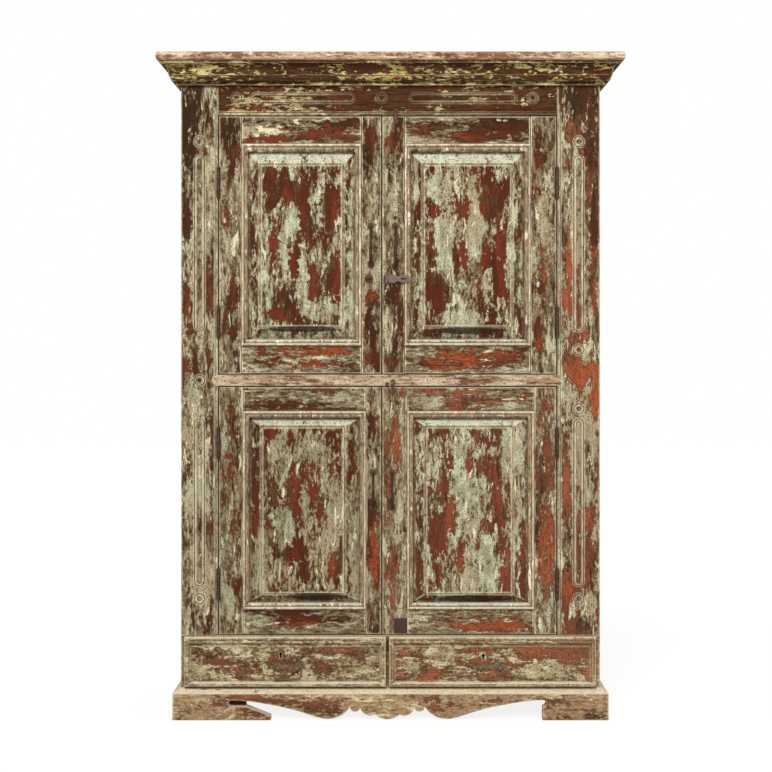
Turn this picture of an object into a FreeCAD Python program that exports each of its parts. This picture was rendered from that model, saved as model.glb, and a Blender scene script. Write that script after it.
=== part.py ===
import FreeCAD, Part

# Painted two-tier cupboard: four fielded-panel doors over two drawers, with a coved cornice
# and a scalloped plinth. Millimetres. X runs to the right seen from the front, the front faces
# -Y, Z is up, and the origin lies on the floor under the middle of the cornice.

import math
import os
from collections import namedtuple

V = FreeCAD.Vector

# Carcass
BODY_WIDTH = 1200.0
BODY_DEPTH = 500.0
CORNICE_OVERHANG = 64.0
PLINTH_HEIGHT = 90.0
BASE_BOTTOM_THICK = 16.0
DRAWER_OPENING_HEIGHT = 113.0
FLOOR_THICK = 20.0
LOWER_OPENING_HEIGHT = 713.0
MID_RAIL_HEIGHT = 33.0
UPPER_OPENING_HEIGHT = 742.0
FRIEZE_HEIGHT = 149.0
TOP_THICK = 24.0
LEFT_POST_WIDTH = 106.0
RIGHT_POST_WIDTH = 122.0
POST_THICK = 38.0
REAR_POST_WIDTH = 36.0
REAR_POST_DEPTH = 60.0
FRONT_RAIL_THICK = 30.0
FRONT_TENON_LENGTH = 40.0
FRONT_TENON_THICK = 10.0
TENON_SHOULDER = 8.0
MID_RAIL_LAP_DEPTH = 9.0
EDGE_EASE = 1.5
CUT_OVERRUN = 5.0

# Sides, back and shelves
SIDE_RAIL_THICK = 26.0
SIDE_RAIL_HEIGHT = 80.0
SIDE_PANEL_THICK = 12.0
SIDE_PANEL_SETBACK = 7.0
SIDE_GROOVE_DEPTH = 9.0
BACK_THICK = 15.0
BACK_PLANKS = 6
PLANK_GAP = 1.0
SHELF_THICK = 20.0
UPPER_SHELF_RISE = 365.0
LOWER_SHELF_RISE = 350.0
BATTEN_WIDTH = 22.0
BATTEN_HEIGHT = 30.0
BASE_SIDE_THICK = 24.0
BASE_DIVIDER_THICK = 24.0
BASE_DIVIDER_X = -8.5

# Carved posts and frieze
ROUNDEL_RADIUS = 16.0
ROUNDEL_LINE = 3.0
ROUNDEL_EYE = 7.0
CARVING_DEPTH = 3.0
CARVING_PROUD = 1.5
FLUTE_RADIUS = 15.5
FLUTE_LINE = 3.0
FLUTE_CHANNEL = 8.0
FLUTE_TOP_DROP = 279.0
FLUTE_MID_RISE = 138.0
FLUTE_MID_DROP = 108.0
FLUTE_FOOT_RISE = 155.0
TOP_ROUNDEL_DROP = 224.0
UPPER_ROUNDEL_RISE = 71.0
LOWER_ROUNDEL_DROP = 65.0
FOOT_ROUNDEL_RISE = 104.0
FRIEZE_CARVING_RISE = 50.0
FRIEZE_ROUNDEL_SHARES = (0.055, 0.482, 0.928)
FRIEZE_FLUTE_SHARES = ((0.111, 0.388), (0.578, 0.865))
OPENING_BEAD = 7.0
OPENING_BEAD_LINE = 2.5

# Cornice
CORNICE_MOULDING_HEIGHT = 64.0
NOSING_RADIUS = 7.0
CORNICE_SHARES = (
    ((0.0, 0.0),),
    ((0.19, 0.0),),
    ((0.19, 0.19),),
    ((0.24, 0.19),),
    ((0.42, 0.22), (0.44, 0.40)),
    ((0.50, 0.40),),
    ((0.50, 0.47),),
    ((0.57, 0.76), (0.83, 0.90)),
    ((0.83, 1.0),),
    ((0.0, 1.0),),
)

# Plinth
PLINTH_OVERHANG = 22.0
PLINTH_LEDGE = 8.0
PLINTH_SLOPE = 15.0
PLINTH_BLOCK = 55.0
PLINTH_LONG_BLOCK = 175.0
PLINTH_BACK_THICK = 24.0
APRON_CENTRE_X = -9.0
APRON_HALF_SPAN = 462.0
APRON_HEIGHT = 57.0
APRON_LOBE_SHARES = (
    ((0.0, 0.05), (0.076, 0.28)),
    ((0.112, 0.23), (0.167, 0.60)),
    ((0.197, 0.42), (0.232, 0.66)),
)
APRON_OGEE_SHARES = ((0.232, 0.66), (0.285, 0.24), (0.365, 0.07), (0.46, 0.22), (0.585, 0.53),
                     (0.74, 0.80), (0.87, 0.96), (0.96, 1.0))
FOOT_NOTCH_RADIUS = 9.5
TONGUE_LENGTH = 111.0
TONGUE_TIP_HEIGHT = 12.0
TONGUE_ROOT_SHARE = 0.4
SIDE_FOOT_LENGTH = 130.0
SIDE_ARCH_HEIGHT = 50.0

# Doors
MEETING_X = -25.0
DOOR_GAP = 3.0
DOOR_THICK = 28.0
UPPER_LEFT_HINGE_STILE = 65.0
UPPER_LEFT_MEETING_STILE = 57.0
UPPER_RIGHT_MEETING_STILE = 64.0
UPPER_RIGHT_HINGE_STILE = 74.0
LOWER_LEFT_HINGE_STILE = 69.0
LOWER_LEFT_MEETING_STILE = 44.0
LOWER_RIGHT_MEETING_STILE = 71.0
LOWER_RIGHT_HINGE_STILE = 64.0
UPPER_TOP_RAIL = 79.0
UPPER_BOTTOM_RAIL = 80.0
LOWER_TOP_RAIL = 69.0
LOWER_BOTTOM_RAIL = 71.5
DOOR_TENON_LENGTH = 30.0
DOOR_TENON_THICK = 9.0
PANEL_GROOVE_DEPTH = 9.0
PANEL_TONGUE_THICK = 8.0
PANEL_SEAT = 13.0
PANEL_BEVEL_WIDTH = 28.0
LOWER_BEVEL_RIGHT = 36.0
LOWER_BEVEL_TOP = 17.0
LOWER_BEVEL_FOOT = 19.0
PANEL_MARGIN = 3.0
PANEL_BEVEL_RISE = 11.0
PANEL_FIELD_LEDGE = 6.0
PANEL_FIELD_STEP = 4.0
MOULDING_WIDTH = 18.0
UPPER_MOULDING_TOP = 23.0
LOWER_MOULDING_TOP = 20.0
MOULDING_PROUD = 8.0
MOULDING_SHARES = (
    ((0.0, 0.0),),
    ((0.0, 0.92),),
    ((0.16, 1.05), (0.36, 0.88)),
    ((0.42, 0.76),),
    ((0.48, 0.82),),
    ((0.80, 0.74), (0.96, 0.30)),
    ((1.0, 0.30),),
    ((1.0, 0.0),),
)

# Hinges
HINGE_LENGTH = 86.0
HINGE_PROUD = 2.5
KNUCKLE_RADIUS = 5.5
KNUCKLE_CLEAR = 0.5
PIN_RADIUS = 2.5
PIN_CLEAR = 0.08
PIN_HEAD_RADIUS = 4.5
PIN_HEAD_THICK = 2.5
LEAF_CLEAR = 0.3
LEAF_DEPTH = 24.0
UPPER_HINGE_DROP = 190.0
UPPER_HINGE_RISE = 147.0
LOWER_HINGE_DROP = 161.0
LOWER_HINGE_RISE = 142.0

# Bow handles on the doors
UPPER_LEFT_HANDLE_INSET = 30.0
UPPER_LEFT_HANDLE_LENGTH = 111.0
UPPER_RIGHT_HANDLE_INSET = 38.0
UPPER_RIGHT_HANDLE_LENGTH = 120.0
LOWER_LEFT_HANDLE_INSET = 23.0
LOWER_LEFT_HANDLE_LENGTH = 100.0
LOWER_RIGHT_HANDLE_INSET = 28.0
LOWER_RIGHT_HANDLE_LENGTH = 99.0
UPPER_HANDLE_DROP = 314.0
LOWER_HANDLE_DROP = 244.5
HANDLE_RISE = 27.0
HANDLE_TOP_RADIUS = 3.2
HANDLE_FOOT_RADIUS = 4.6
HANDLE_DISC_RADIUS = 9.5
HANDLE_DISC_THICK = 3.0
HANDLE_BOSS_RADIUS = 5.0
HANDLE_BOSS_THICK = 5.0

# Hasp, its hinge plate and staple
HASP_BELOW_HANDLES = 31.0
HASP_AXIS_INSET = 12.0
HASP_AXIS_PROUD = 12.0
HASP_THICK = 3.0
HASP_KNUCKLE_RADIUS = 4.0
HASP_KNUCKLE_LENGTH = 10.0
HASP_KNUCKLE_CLEAR = 0.5
HASP_PIN_RADIUS = 1.8
HASP_NECK_HALF = 4.5
HASP_SHOULDER_START = 16.0
HASP_SHOULDER_END = 20.0
HASP_SHOULDER_HALF = 11.0
HASP_SLOT_CENTRE = 50.0
HASP_SLOT_HALF_LENGTH = 9.0
HASP_SLOT_HALF_WIDTH = 3.2
HASP_END_HALF = 10.5
HASP_WAIST_HALF = 7.0
HASP_PLATE_WIDTH = 22.0
HASP_PLATE_HALF_HEIGHT = 13.0
HASP_PLATE_THICK = 2.0
STAPLE_LEG_SPACING = 10.0
STAPLE_WIRE_RADIUS = 1.8
STAPLE_REACH = 17.0
STAPLE_PLATE_RADIUS = 12.0
STAPLE_PLATE_THICK = 2.0

# Pivoted hooks on the right doors and their studs
UPPER_HOOK_INSET = 38.0
LOWER_HOOK_INSET = 30.0
HOOK_DROP = 14.0
HOOK_REACH = 28.0
HOOK_ANGLE_DEG = 35.0
HOOK_THICK = 3.0
HOOK_STAND = 1.5
HOOK_ROOT_RADIUS = 7.0
HOOK_HEAD_RADIUS = 7.5
HOOK_NECK_HALF = 4.0
HOOK_STEM_RADIUS = 3.0
HOOK_STEM_CLEAR = 0.08
HOOK_STEM_DEPTH = 18.0
HOOK_CAP_RADIUS = 5.0
HOOK_CAP_THICK = 2.0
STUD_RADIUS = 2.5
STUD_CLEAR = 0.6
STUD_HEAD_RADIUS = 5.0
STUD_HEAD_THICK = 2.5
STUD_GAP = 6.5
STUD_DEPTH = 16.0

# Drawers
DRAWER_LEFT_MARGIN = 11.0
DRAWER_RIGHT_MARGIN = 13.0
DRAWER_MEETING_GAP = 9.0
DRAWER_LIP_BELOW = 11.0
DRAWER_LIP_ABOVE = 17.0
DRAWER_LIP_THICK = 8.0
DRAWER_LIP_CLEAR = 0.4
DRAWER_FRONT_INNER = 15.0
DRAWER_SIDE_CLEAR = 1.5
DRAWER_RUN_CLEAR = 0.3
DRAWER_TOP_CLEAR = 5.0
DRAWER_BACK_CLEAR = 35.0
DRAWER_SIDE_THICK = 12.0
DRAWER_BOTTOM_THICK = 8.0
DRAWER_BOTTOM_RISE = 9.0
DRAWER_GROOVE_DEPTH = 5.0
DRAWER_TAILS = 3
DRAWER_TAIL_LENGTH = 10.0
DRAWER_TAIL_FLARE = 3.0
DRAWER_TAIL_SHARE = 0.5
DRAWER_MOULDING_TOP = 28.0
DRAWER_MOULDING_SIDE = 18.0
DRAWER_MOULDING_FOOT = 14.0
DRAWER_MOULDING_PROUD = 11.0
DRAWER_MOULDING_SHARES = (
    ((0.0, 0.0),),
    ((0.0, 0.82),),
    ((0.06, 1.0), (0.22, 1.0)),
    ((0.40, 1.0),),
    ((0.62, 0.92), (0.72, 0.55)),
    ((0.82, 0.30), (1.0, 0.22)),
    ((1.0, 0.0),),
)
KEYHOLE_RADIUS = 5.0
KEYHOLE_SLOT_HALF = 2.6
KEYHOLE_SLOT_LENGTH = 13.0
LEFT_KEYHOLE_SHIFT = -13.0
LEFT_KEYHOLE_RISE = 80.0
RIGHT_KEYHOLE_SHIFT = -26.0
RIGHT_KEYHOLE_RISE = 76.0

# Drawer pulls
LEFT_PULL_SHIFT = 7.0
RIGHT_PULL_SHIFT = -6.0
PULL_RISE = 55.0
PULL_PLATE_HALF = 50.0
PULL_PLATE_WAIST = 6.0
PULL_LOBE_RADIUS = 11.5
PULL_END_RADIUS = 5.0
PULL_PLATE_THICK = 2.5
PULL_POST_HALF_SPAN = 28.0
PULL_POST_RADIUS = 5.5
PULL_POST_REACH = 15.0
PULL_AXIS_REACH = 9.5
BAIL_RADIUS = 2.2
BAIL_PIVOT_CLEAR = 0.08
BAIL_LEG_OUTSET = 11.0
BAIL_TAIL = 5.0
BAIL_DROP = 34.0
BAIL_SHOULDER_BEND = 5.0
BAIL_FOOT_BEND = 15.0

# Levels and planes
FRONT = (CORNICE_OVERHANG - BODY_DEPTH) / 2
BACK = FRONT + BODY_DEPTH
LEFT = -BODY_WIDTH / 2
RIGHT = BODY_WIDTH / 2
Z_DRAWERS = PLINTH_HEIGHT + BASE_BOTTOM_THICK
Z_FLOOR_UNDER = Z_DRAWERS + DRAWER_OPENING_HEIGHT
Z_FLOOR = Z_FLOOR_UNDER + FLOOR_THICK
Z_MID = Z_FLOOR + LOWER_OPENING_HEIGHT
Z_UPPER = Z_MID + MID_RAIL_HEIGHT
Z_FRIEZE = Z_UPPER + UPPER_OPENING_HEIGHT
Z_TOP_UNDER = Z_FRIEZE + FRIEZE_HEIGHT
Z_CORNICE = Z_TOP_UNDER - CORNICE_MOULDING_HEIGHT
OPENING_LEFT = LEFT + LEFT_POST_WIDTH
OPENING_RIGHT = RIGHT - RIGHT_POST_WIDTH
BACK_FACE = BACK - BACK_THICK
POST_BACK = FRONT + POST_THICK
REAR_POST_FRONT = BACK - REAR_POST_DEPTH
SIDE_INNER = RIGHT - SIDE_RAIL_THICK

Door = namedtuple("Door", "name x0 x1 side z0 z1 top_rail bottom_rail moulding_top bevels hinge_drop "
                          "hinge_rise handle_drop left_stile right_stile handle_inset handle_length")


def door_specs():
    """Return the four doors, with side +1 where the leaf lies to the right of its hinges."""
    left = (OPENING_LEFT + DOOR_GAP, MEETING_X - DOOR_GAP / 2, 1)
    right = (MEETING_X + DOOR_GAP / 2, OPENING_RIGHT - DOOR_GAP, -1)
    wide = PANEL_BEVEL_WIDTH
    upper = (Z_UPPER + DOOR_GAP, Z_FRIEZE - DOOR_GAP, UPPER_TOP_RAIL, UPPER_BOTTOM_RAIL, UPPER_MOULDING_TOP,
             (wide, wide, wide, wide), UPPER_HINGE_DROP, UPPER_HINGE_RISE, UPPER_HANDLE_DROP)
    lower = (Z_FLOOR + DOOR_GAP, Z_MID - DOOR_GAP, LOWER_TOP_RAIL, LOWER_BOTTOM_RAIL, LOWER_MOULDING_TOP,
             (wide, LOWER_BEVEL_RIGHT, LOWER_BEVEL_TOP, LOWER_BEVEL_FOOT), LOWER_HINGE_DROP,
             LOWER_HINGE_RISE, LOWER_HANDLE_DROP)
    return {
        "upper_left": Door("upper_left", *left, *upper, UPPER_LEFT_HINGE_STILE, UPPER_LEFT_MEETING_STILE,
                           UPPER_LEFT_HANDLE_INSET, UPPER_LEFT_HANDLE_LENGTH),
        "lower_left": Door("lower_left", *left, *lower, LOWER_LEFT_HINGE_STILE, LOWER_LEFT_MEETING_STILE,
                           LOWER_LEFT_HANDLE_INSET, LOWER_LEFT_HANDLE_LENGTH),
        "upper_right": Door("upper_right", *right, *upper, UPPER_RIGHT_MEETING_STILE,
                            UPPER_RIGHT_HINGE_STILE, UPPER_RIGHT_HANDLE_INSET, UPPER_RIGHT_HANDLE_LENGTH),
        "lower_right": Door("lower_right", *right, *lower, LOWER_RIGHT_MEETING_STILE,
                            LOWER_RIGHT_HINGE_STILE, LOWER_RIGHT_HANDLE_INSET, LOWER_RIGHT_HANDLE_LENGTH),
    }


# Shape helpers

def box(x0, x1, y0, y1, z0, z1):
    """Return a square-edged board between two corners."""
    return Part.makeBox(x1 - x0, y1 - y0, z1 - z0, V(x0, y0, z0))


def prism(points, run):
    """Return a polygon pushed along a vector."""
    return Part.Face(Part.makePolygon(points + points[:1])).extrude(run)


def upright(x0, x1, y0, y1, z0, z1):
    """Return a standing board whose two front edges are eased."""
    ease = EDGE_EASE
    plan = [(x0 + ease, y0), (x1 - ease, y0), (x1, y0 + ease), (x1, y1), (x0, y1), (x0, y0 + ease)]
    return prism([V(x, y, z0) for x, y in plan], V(0, 0, z1 - z0))


def level(x0, x1, y0, y1, z0, z1):
    """Return a board that lies along X, with its two front edges eased."""
    ease = EDGE_EASE
    end = [(y0, z0 + ease), (y0, z1 - ease), (y0 + ease, z1), (y1, z1), (y1, z0), (y0 + ease, z0)]
    return prism([V(x0, y, z) for y, z in end], V(x1 - x0, 0, 0))


def rod(centre, radius, run):
    """Return a round bar from a point along a vector."""
    return Part.makeCylinder(radius, run.Length, centre, run)


def stadium(a, b, radius, y0, y1):
    """Return a round-ended bar between two (x, z) points, from depth y0 to y1."""
    start = V(a[0], y0, a[1])
    end = V(b[0], y0, b[1])
    along = (end - start).normalize() * radius
    across = V(-along.z, 0, along.x)
    edges = [Part.makeLine(start + across, end + across),
             Part.Arc(end + across, end + along, end - across).toShape(),
             Part.makeLine(end - across, start - across),
             Part.Arc(start - across, start - along, start + across).toShape()]
    return Part.Face(Part.Wire(edges)).extrude(V(0, y1 - y0, 0))


def section(outline, place):
    """Return a closed wire: each step is a line end, or an arc's middle and end."""
    start = place(*outline[0][0])
    here = start
    edges = []
    for step in outline[1:]:
        end = place(*step[-1])
        if len(step) == 1:
            edges.append(Part.makeLine(here, end))
        else:
            edges.append(Part.Arc(here, place(*step[0]), end).toShape())
        here = end
    edges.append(Part.makeLine(here, start))
    return Part.Wire(edges)


def run_between(first, second):
    """Return the straight moulding between two mitred sections."""
    return Part.makeLoft([first, second], True, True)


def fuse(shapes):
    """Return one solid made of shapes that overlap."""
    return shapes[0].multiFuse(shapes[1:]).removeSplitter()


def frame_moulding(x0, x1, z0, z1, seat_y, widths, height, outline):
    """Return four mitred strips round the inside of a rectangle, standing out from seat_y.

    widths holds the foot, right, top and left widths, and outline is in shares of width and height.
    """
    foot, right, top, left = widths
    outer = [V(x0, seat_y, z0), V(x1, seat_y, z0), V(x1, seat_y, z1), V(x0, seat_y, z1)]
    inner = [V(x0 + left, seat_y, z0 + foot), V(x1 - right, seat_y, z0 + foot),
             V(x1 - right, seat_y, z1 - top), V(x0 + left, seat_y, z1 - top)]
    strips = []
    for i, width in enumerate(widths):
        j = (i + 1) % len(widths)
        along = outer[j] - outer[i]
        inward = V(-along.z, 0, along.x).normalize() * width

        def place(u, v, corner=outer[i], inward=inward):
            return corner + inward * u - V(0, v * height, 0)

        length = Part.Face(section(outline, place)).extrude(along)
        mitres = prism([outer[i], outer[j], inner[j], inner[i]], V(0, -2 * height, 0))
        strips.append(length.common(mitres))
    return strips


def save(node, solids):
    """Write one node's solids to its file."""
    Part.makeCompound(solids).exportStep("parts/" + node + ".step")


# Plinth and drawer case

def plinth_section(x, y, out_x, out_y):
    """Return the plinth's profile at a corner, where out_x and out_y point outwards."""
    outline = (((-PLINTH_LEDGE, 0),), ((PLINTH_OVERHANG, 0),),
               ((PLINTH_OVERHANG, PLINTH_HEIGHT - PLINTH_SLOPE),), ((0, PLINTH_HEIGHT),),
               ((-PLINTH_LEDGE, PLINTH_HEIGHT),))
    return section(outline, lambda p, z: V(x + out_x * p, y + out_y * p, z))


def apron_edges():
    """Return the edges of the front plinth's cut-out, from the left foot to the right one."""
    def at(share, hand):
        return V(APRON_CENTRE_X + hand * share[0] * APRON_HALF_SPAN, 0, share[1] * APRON_HEIGHT)

    def half(hand):
        edges = []
        here = V(APRON_CENTRE_X, 0, APRON_LOBE_SHARES[0][0][1] * APRON_HEIGHT)
        for low, cusp in APRON_LOBE_SHARES:
            if low[0] == 0:
                middle = at((cusp[0] / 2, low[1] + (cusp[1] - low[1]) / 4), hand)
            else:
                middle = at(low, hand)
            edges.append(Part.Arc(here, middle, at(cusp, hand)).toShape())
            here = at(cusp, hand)
        ogee = Part.BSplineCurve()
        ogee.interpolate([at(share, hand) for share in APRON_OGEE_SHARES])
        edges.append(ogee.toShape())
        return edges

    left_end = V(APRON_CENTRE_X - APRON_OGEE_SHARES[-1][0] * APRON_HALF_SPAN, 0, APRON_HEIGHT)
    notch_low = left_end - V(0, 0, 2 * FOOT_NOTCH_RADIUS)
    notch_mid = left_end - V(FOOT_NOTCH_RADIUS, 0, FOOT_NOTCH_RADIUS)
    root = notch_low + V(TONGUE_ROOT_SHARE * TONGUE_LENGTH, 0, 0)
    tip = V(notch_low.x + TONGUE_LENGTH, 0, TONGUE_TIP_HEIGHT)
    below = V(0, 0, -CUT_OVERRUN)
    foot_left = V(tip.x, 0, 0) + below
    right_end = V(2 * APRON_CENTRE_X - left_end.x, 0, APRON_HEIGHT)
    right_low = right_end - V(0, 0, 2 * FOOT_NOTCH_RADIUS)
    right_mid = right_end + V(FOOT_NOTCH_RADIUS, 0, -FOOT_NOTCH_RADIUS)
    foot_right = V(right_low.x, 0, 0) + below
    edges = [Part.makeLine(foot_left, tip), Part.makeLine(tip, root),
             Part.makeLine(root, notch_low), Part.Arc(notch_low, notch_mid, left_end).toShape()]
    edges += half(-1) + half(1)
    edges += [Part.Arc(right_end, right_mid, right_low).toShape(),
              Part.makeLine(right_low, foot_right), Part.makeLine(foot_right, foot_left)]
    return edges


def arch(start, along, length, thickness):
    """Return the cut-out under a plain plinth board, between its bracket feet."""
    up = V(0, 0, SIDE_ARCH_HEIGHT)
    first = start + along * SIDE_FOOT_LENGTH
    last = start + along * (length - SIDE_FOOT_LENGTH)
    shoulder = along * SIDE_ARCH_HEIGHT
    bend = shoulder * (1 - math.sqrt(0.5))
    rise = up * math.sqrt(0.5)
    low = V(0, 0, -CUT_OVERRUN)
    edges = [Part.makeLine(first + low, first),
             Part.Arc(first, first + bend + rise, first + shoulder + up).toShape(),
             Part.makeLine(first + shoulder + up, last - shoulder + up),
             Part.Arc(last - shoulder + up, last - bend + rise, last).toShape(),
             Part.makeLine(last, last + low), Part.makeLine(last + low, first + low)]
    return Part.Face(Part.Wire(Part.__sortEdges__(edges))).extrude(thickness)


def build_plinth():
    """Write the plinth boards and the blocks in their corners."""
    front_left = plinth_section(LEFT, FRONT, -1, -1)
    front_right = plinth_section(RIGHT, FRONT, 1, -1)
    reach = PLINTH_OVERHANG + PLINTH_LEDGE + 2 * CUT_OVERRUN
    void = Part.Face(Part.Wire(Part.__sortEdges__(apron_edges()))).extrude(V(0, reach, 0))
    void.translate(V(0, FRONT - PLINTH_OVERHANG - CUT_OVERRUN, 0))
    save("plinth_front", [run_between(front_left, front_right).cut(void)])
    sides = []
    for x, hand, corner in ((LEFT, -1, front_left), (RIGHT, 1, front_right)):
        board = run_between(corner, plinth_section(x, BACK, hand, 0))
        start = V(x - hand * (PLINTH_LEDGE + CUT_OVERRUN), FRONT - PLINTH_OVERHANG, 0)
        cutter = arch(start, V(0, 1, 0), BODY_DEPTH + PLINTH_OVERHANG, V(hand * reach, 0, 0))
        sides.append(board.cut(cutter))
    save("plinth_sides", sides)
    inner = RIGHT - PLINTH_LEDGE
    back = box(-inner, inner, BACK - PLINTH_BACK_THICK, BACK, 0, PLINTH_HEIGHT)
    cutter = arch(V(-inner, BACK - PLINTH_BACK_THICK - CUT_OVERRUN, 0), V(1, 0, 0), 2 * inner,
                  V(0, PLINTH_BACK_THICK + 2 * CUT_OVERRUN, 0))
    save("plinth_back", [back.cut(cutter)])
    blocks = []
    front_y = FRONT + PLINTH_LEDGE
    back_y = BACK - PLINTH_BACK_THICK - PLINTH_BLOCK
    right_x = inner - PLINTH_BLOCK
    for x0, length, y0 in ((-inner, PLINTH_LONG_BLOCK, front_y), (-inner, PLINTH_BLOCK, back_y),
                           (right_x, PLINTH_BLOCK, front_y), (right_x, PLINTH_BLOCK, back_y)):
        blocks.append(box(x0, x0 + length, y0, y0 + PLINTH_BLOCK, 0, PLINTH_HEIGHT))
    save("plinth_corner_blocks", blocks)


def build_drawer_case():
    """Write the boards that hold the two drawers."""
    save("base_bottom", [level(LEFT, RIGHT, FRONT, BACK_FACE, PLINTH_HEIGHT, Z_DRAWERS)])
    save("base_sides", [upright(x0, x0 + BASE_SIDE_THICK, FRONT, BACK_FACE, Z_DRAWERS, Z_FLOOR_UNDER)
                        for x0 in (LEFT, RIGHT - BASE_SIDE_THICK)])
    half = BASE_DIVIDER_THICK / 2
    save("base_divider", [upright(BASE_DIVIDER_X - half, BASE_DIVIDER_X + half, FRONT, BACK_FACE,
                                  Z_DRAWERS, Z_FLOOR_UNDER)])
    save("base_back", [box(LEFT, RIGHT, BACK_FACE, BACK, PLINTH_HEIGHT, Z_FLOOR)])
    save("lower_floor", [level(LEFT, RIGHT, FRONT, BACK_FACE, Z_FLOOR_UNDER, Z_FLOOR)])


# Carcass

def roundel(x, z):
    """Return the sunk ground of a carved ring and the raised ring that stands in it."""
    ground = V(x, FRONT + CARVING_DEPTH, z)
    run = V(0, -CARVING_DEPTH - CUT_OVERRUN, 0)
    rise = V(0, -CARVING_DEPTH - CARVING_PROUD, 0)
    ring = rod(ground, ROUNDEL_RADIUS - ROUNDEL_LINE, rise).cut(rod(ground, ROUNDEL_EYE, rise))
    return rod(ground, ROUNDEL_RADIUS, run), ring


def flute(a, b):
    """Return the sunk ground of a stopped flute and the raised loop that stands in it."""
    y1 = FRONT + CARVING_DEPTH
    crown = FRONT - CARVING_PROUD
    loop = stadium(a, b, FLUTE_RADIUS - FLUTE_LINE, crown, y1).cut(stadium(a, b, FLUTE_CHANNEL, crown, y1))
    return stadium(a, b, FLUTE_RADIUS, FRONT - CUT_OVERRUN, y1), loop


def post_carving(x, roundels):
    """Return the sunk grounds and raised beads of one post, with its roundels at the given heights."""
    carvings = [flute((x, Z_UPPER + FLUTE_MID_RISE), (x, Z_TOP_UNDER - FLUTE_TOP_DROP)),
                flute((x, Z_FLOOR + FLUTE_FOOT_RISE), (x, Z_MID - FLUTE_MID_DROP))]
    carvings += [roundel(x, z) for z in roundels]
    return [cut for cut, _ in carvings], [bead for _, bead in carvings]


def front_rail(z0, z1):
    """Return a front rail with a tenon at each end."""
    rail = level(OPENING_LEFT, OPENING_RIGHT, FRONT, FRONT + FRONT_RAIL_THICK, z0, z1)
    y0 = FRONT + (FRONT_RAIL_THICK - FRONT_TENON_THICK) / 2
    tenon = box(OPENING_LEFT - FRONT_TENON_LENGTH, OPENING_RIGHT + FRONT_TENON_LENGTH, y0,
                y0 + FRONT_TENON_THICK, z0 + TENON_SHOULDER, z1 - TENON_SHOULDER)
    return fuse([rail, tenon])


def hook_places(doors):
    """Return the upper and lower hooks' pivots as (door, x, z)."""
    places = []
    for name, inset in (("upper_right", UPPER_HOOK_INSET), ("lower_right", LOWER_HOOK_INSET)):
        door = doors[name]
        places.append((door, door.x0 + inset, door.z1 - HOOK_DROP))
    return places


def stud_place(x, z):
    """Return the (x, z) of the stud that a hook at (x, z) turns on to."""
    angle = math.radians(HOOK_ANGLE_DEG)
    return x - HOOK_REACH * math.sin(angle), z + HOOK_REACH * math.cos(angle)


def build_front(doors, notches):
    """Write the front posts and the two front rails, with their carving and hinge notches."""
    frieze = front_rail(Z_FRIEZE, Z_TOP_UNDER)
    length = OPENING_RIGHT - OPENING_LEFT
    z = Z_FRIEZE + FRIEZE_CARVING_RISE
    cutters = []
    beads = []
    for share in FRIEZE_ROUNDEL_SHARES:
        cut, bead = roundel(OPENING_LEFT + share * length, z)
        cutters.append(cut)
        beads.append(bead)
    for first, last in FRIEZE_FLUTE_SHARES:
        cut, bead = flute((OPENING_LEFT + first * length, z), (OPENING_LEFT + last * length, z))
        cutters.append(cut)
        beads.append(bead)
    bead_y = FRONT + OPENING_BEAD_LINE
    bead_z = Z_FRIEZE + OPENING_BEAD
    frieze = frieze.cut(cutters).fuse(beads)
    frieze = frieze.cut(box(OPENING_LEFT, OPENING_RIGHT, FRONT - CUT_OVERRUN, bead_y, bead_z,
                            bead_z + OPENING_BEAD_LINE))
    mid = front_rail(Z_MID, Z_UPPER)
    lap_z = (Z_MID + Z_UPPER) / 2
    lap = stadium((OPENING_LEFT, lap_z), (OPENING_RIGHT, lap_z), MID_RAIL_HEIGHT / 2 - EDGE_EASE,
                  FRONT, FRONT + MID_RAIL_LAP_DEPTH)
    mid = fuse([mid, lap])
    studs = []
    for _, x, pivot_z in hook_places(doors):
        stud_x, stud_z = stud_place(x, pivot_z)
        root = V(stud_x, FRONT + STUD_DEPTH, stud_z)
        shank = rod(root, STUD_RADIUS, V(0, -STUD_DEPTH - STUD_GAP, 0))
        head = rod(V(stud_x, FRONT - STUD_GAP, stud_z), STUD_HEAD_RADIUS, V(0, -STUD_HEAD_THICK, 0))
        studs.append(fuse([shank, head]))
    save("hook_studs", studs)
    frieze = frieze.cut(studs[0])
    mid = mid.cut(studs[1])
    save("frieze_rail", [frieze])
    save("mid_rail", [mid])

    roundels = {
        "left": (Z_TOP_UNDER - TOP_ROUNDEL_DROP, lap_z, Z_FLOOR + FOOT_ROUNDEL_RISE),
        "right": (Z_TOP_UNDER - TOP_ROUNDEL_DROP, Z_UPPER + UPPER_ROUNDEL_RISE,
                  Z_MID - LOWER_ROUNDEL_DROP, Z_FLOOR + FOOT_ROUNDEL_RISE),
    }
    for hand, x0, x1 in (("left", LEFT, OPENING_LEFT), ("right", OPENING_RIGHT, RIGHT)):
        post = upright(x0, x1, FRONT, POST_BACK, Z_FLOOR, Z_TOP_UNDER)
        cutters, beads = post_carving((x0 + x1) / 2, roundels[hand])
        post = post.cut(cutters).fuse(beads)
        line_x = OPENING_RIGHT + OPENING_BEAD
        if hand == "left":
            line_x = OPENING_LEFT - OPENING_BEAD - OPENING_BEAD_LINE
        line = box(line_x, line_x + OPENING_BEAD_LINE, FRONT - CUT_OVERRUN, bead_y, Z_FLOOR, bead_z)
        post = post.cut([front_rail(Z_FRIEZE, Z_TOP_UNDER), mid, line] + side_joinery(hand) + notches[hand])
        save("post_front_" + hand, [post])


def side_levels():
    """Return the foot and head of the three rails in each side."""
    return ((Z_FLOOR, Z_FLOOR + SIDE_RAIL_HEIGHT),
            (Z_UPPER - SIDE_RAIL_HEIGHT, Z_UPPER),
            (Z_FRIEZE, Z_TOP_UNDER))


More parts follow.
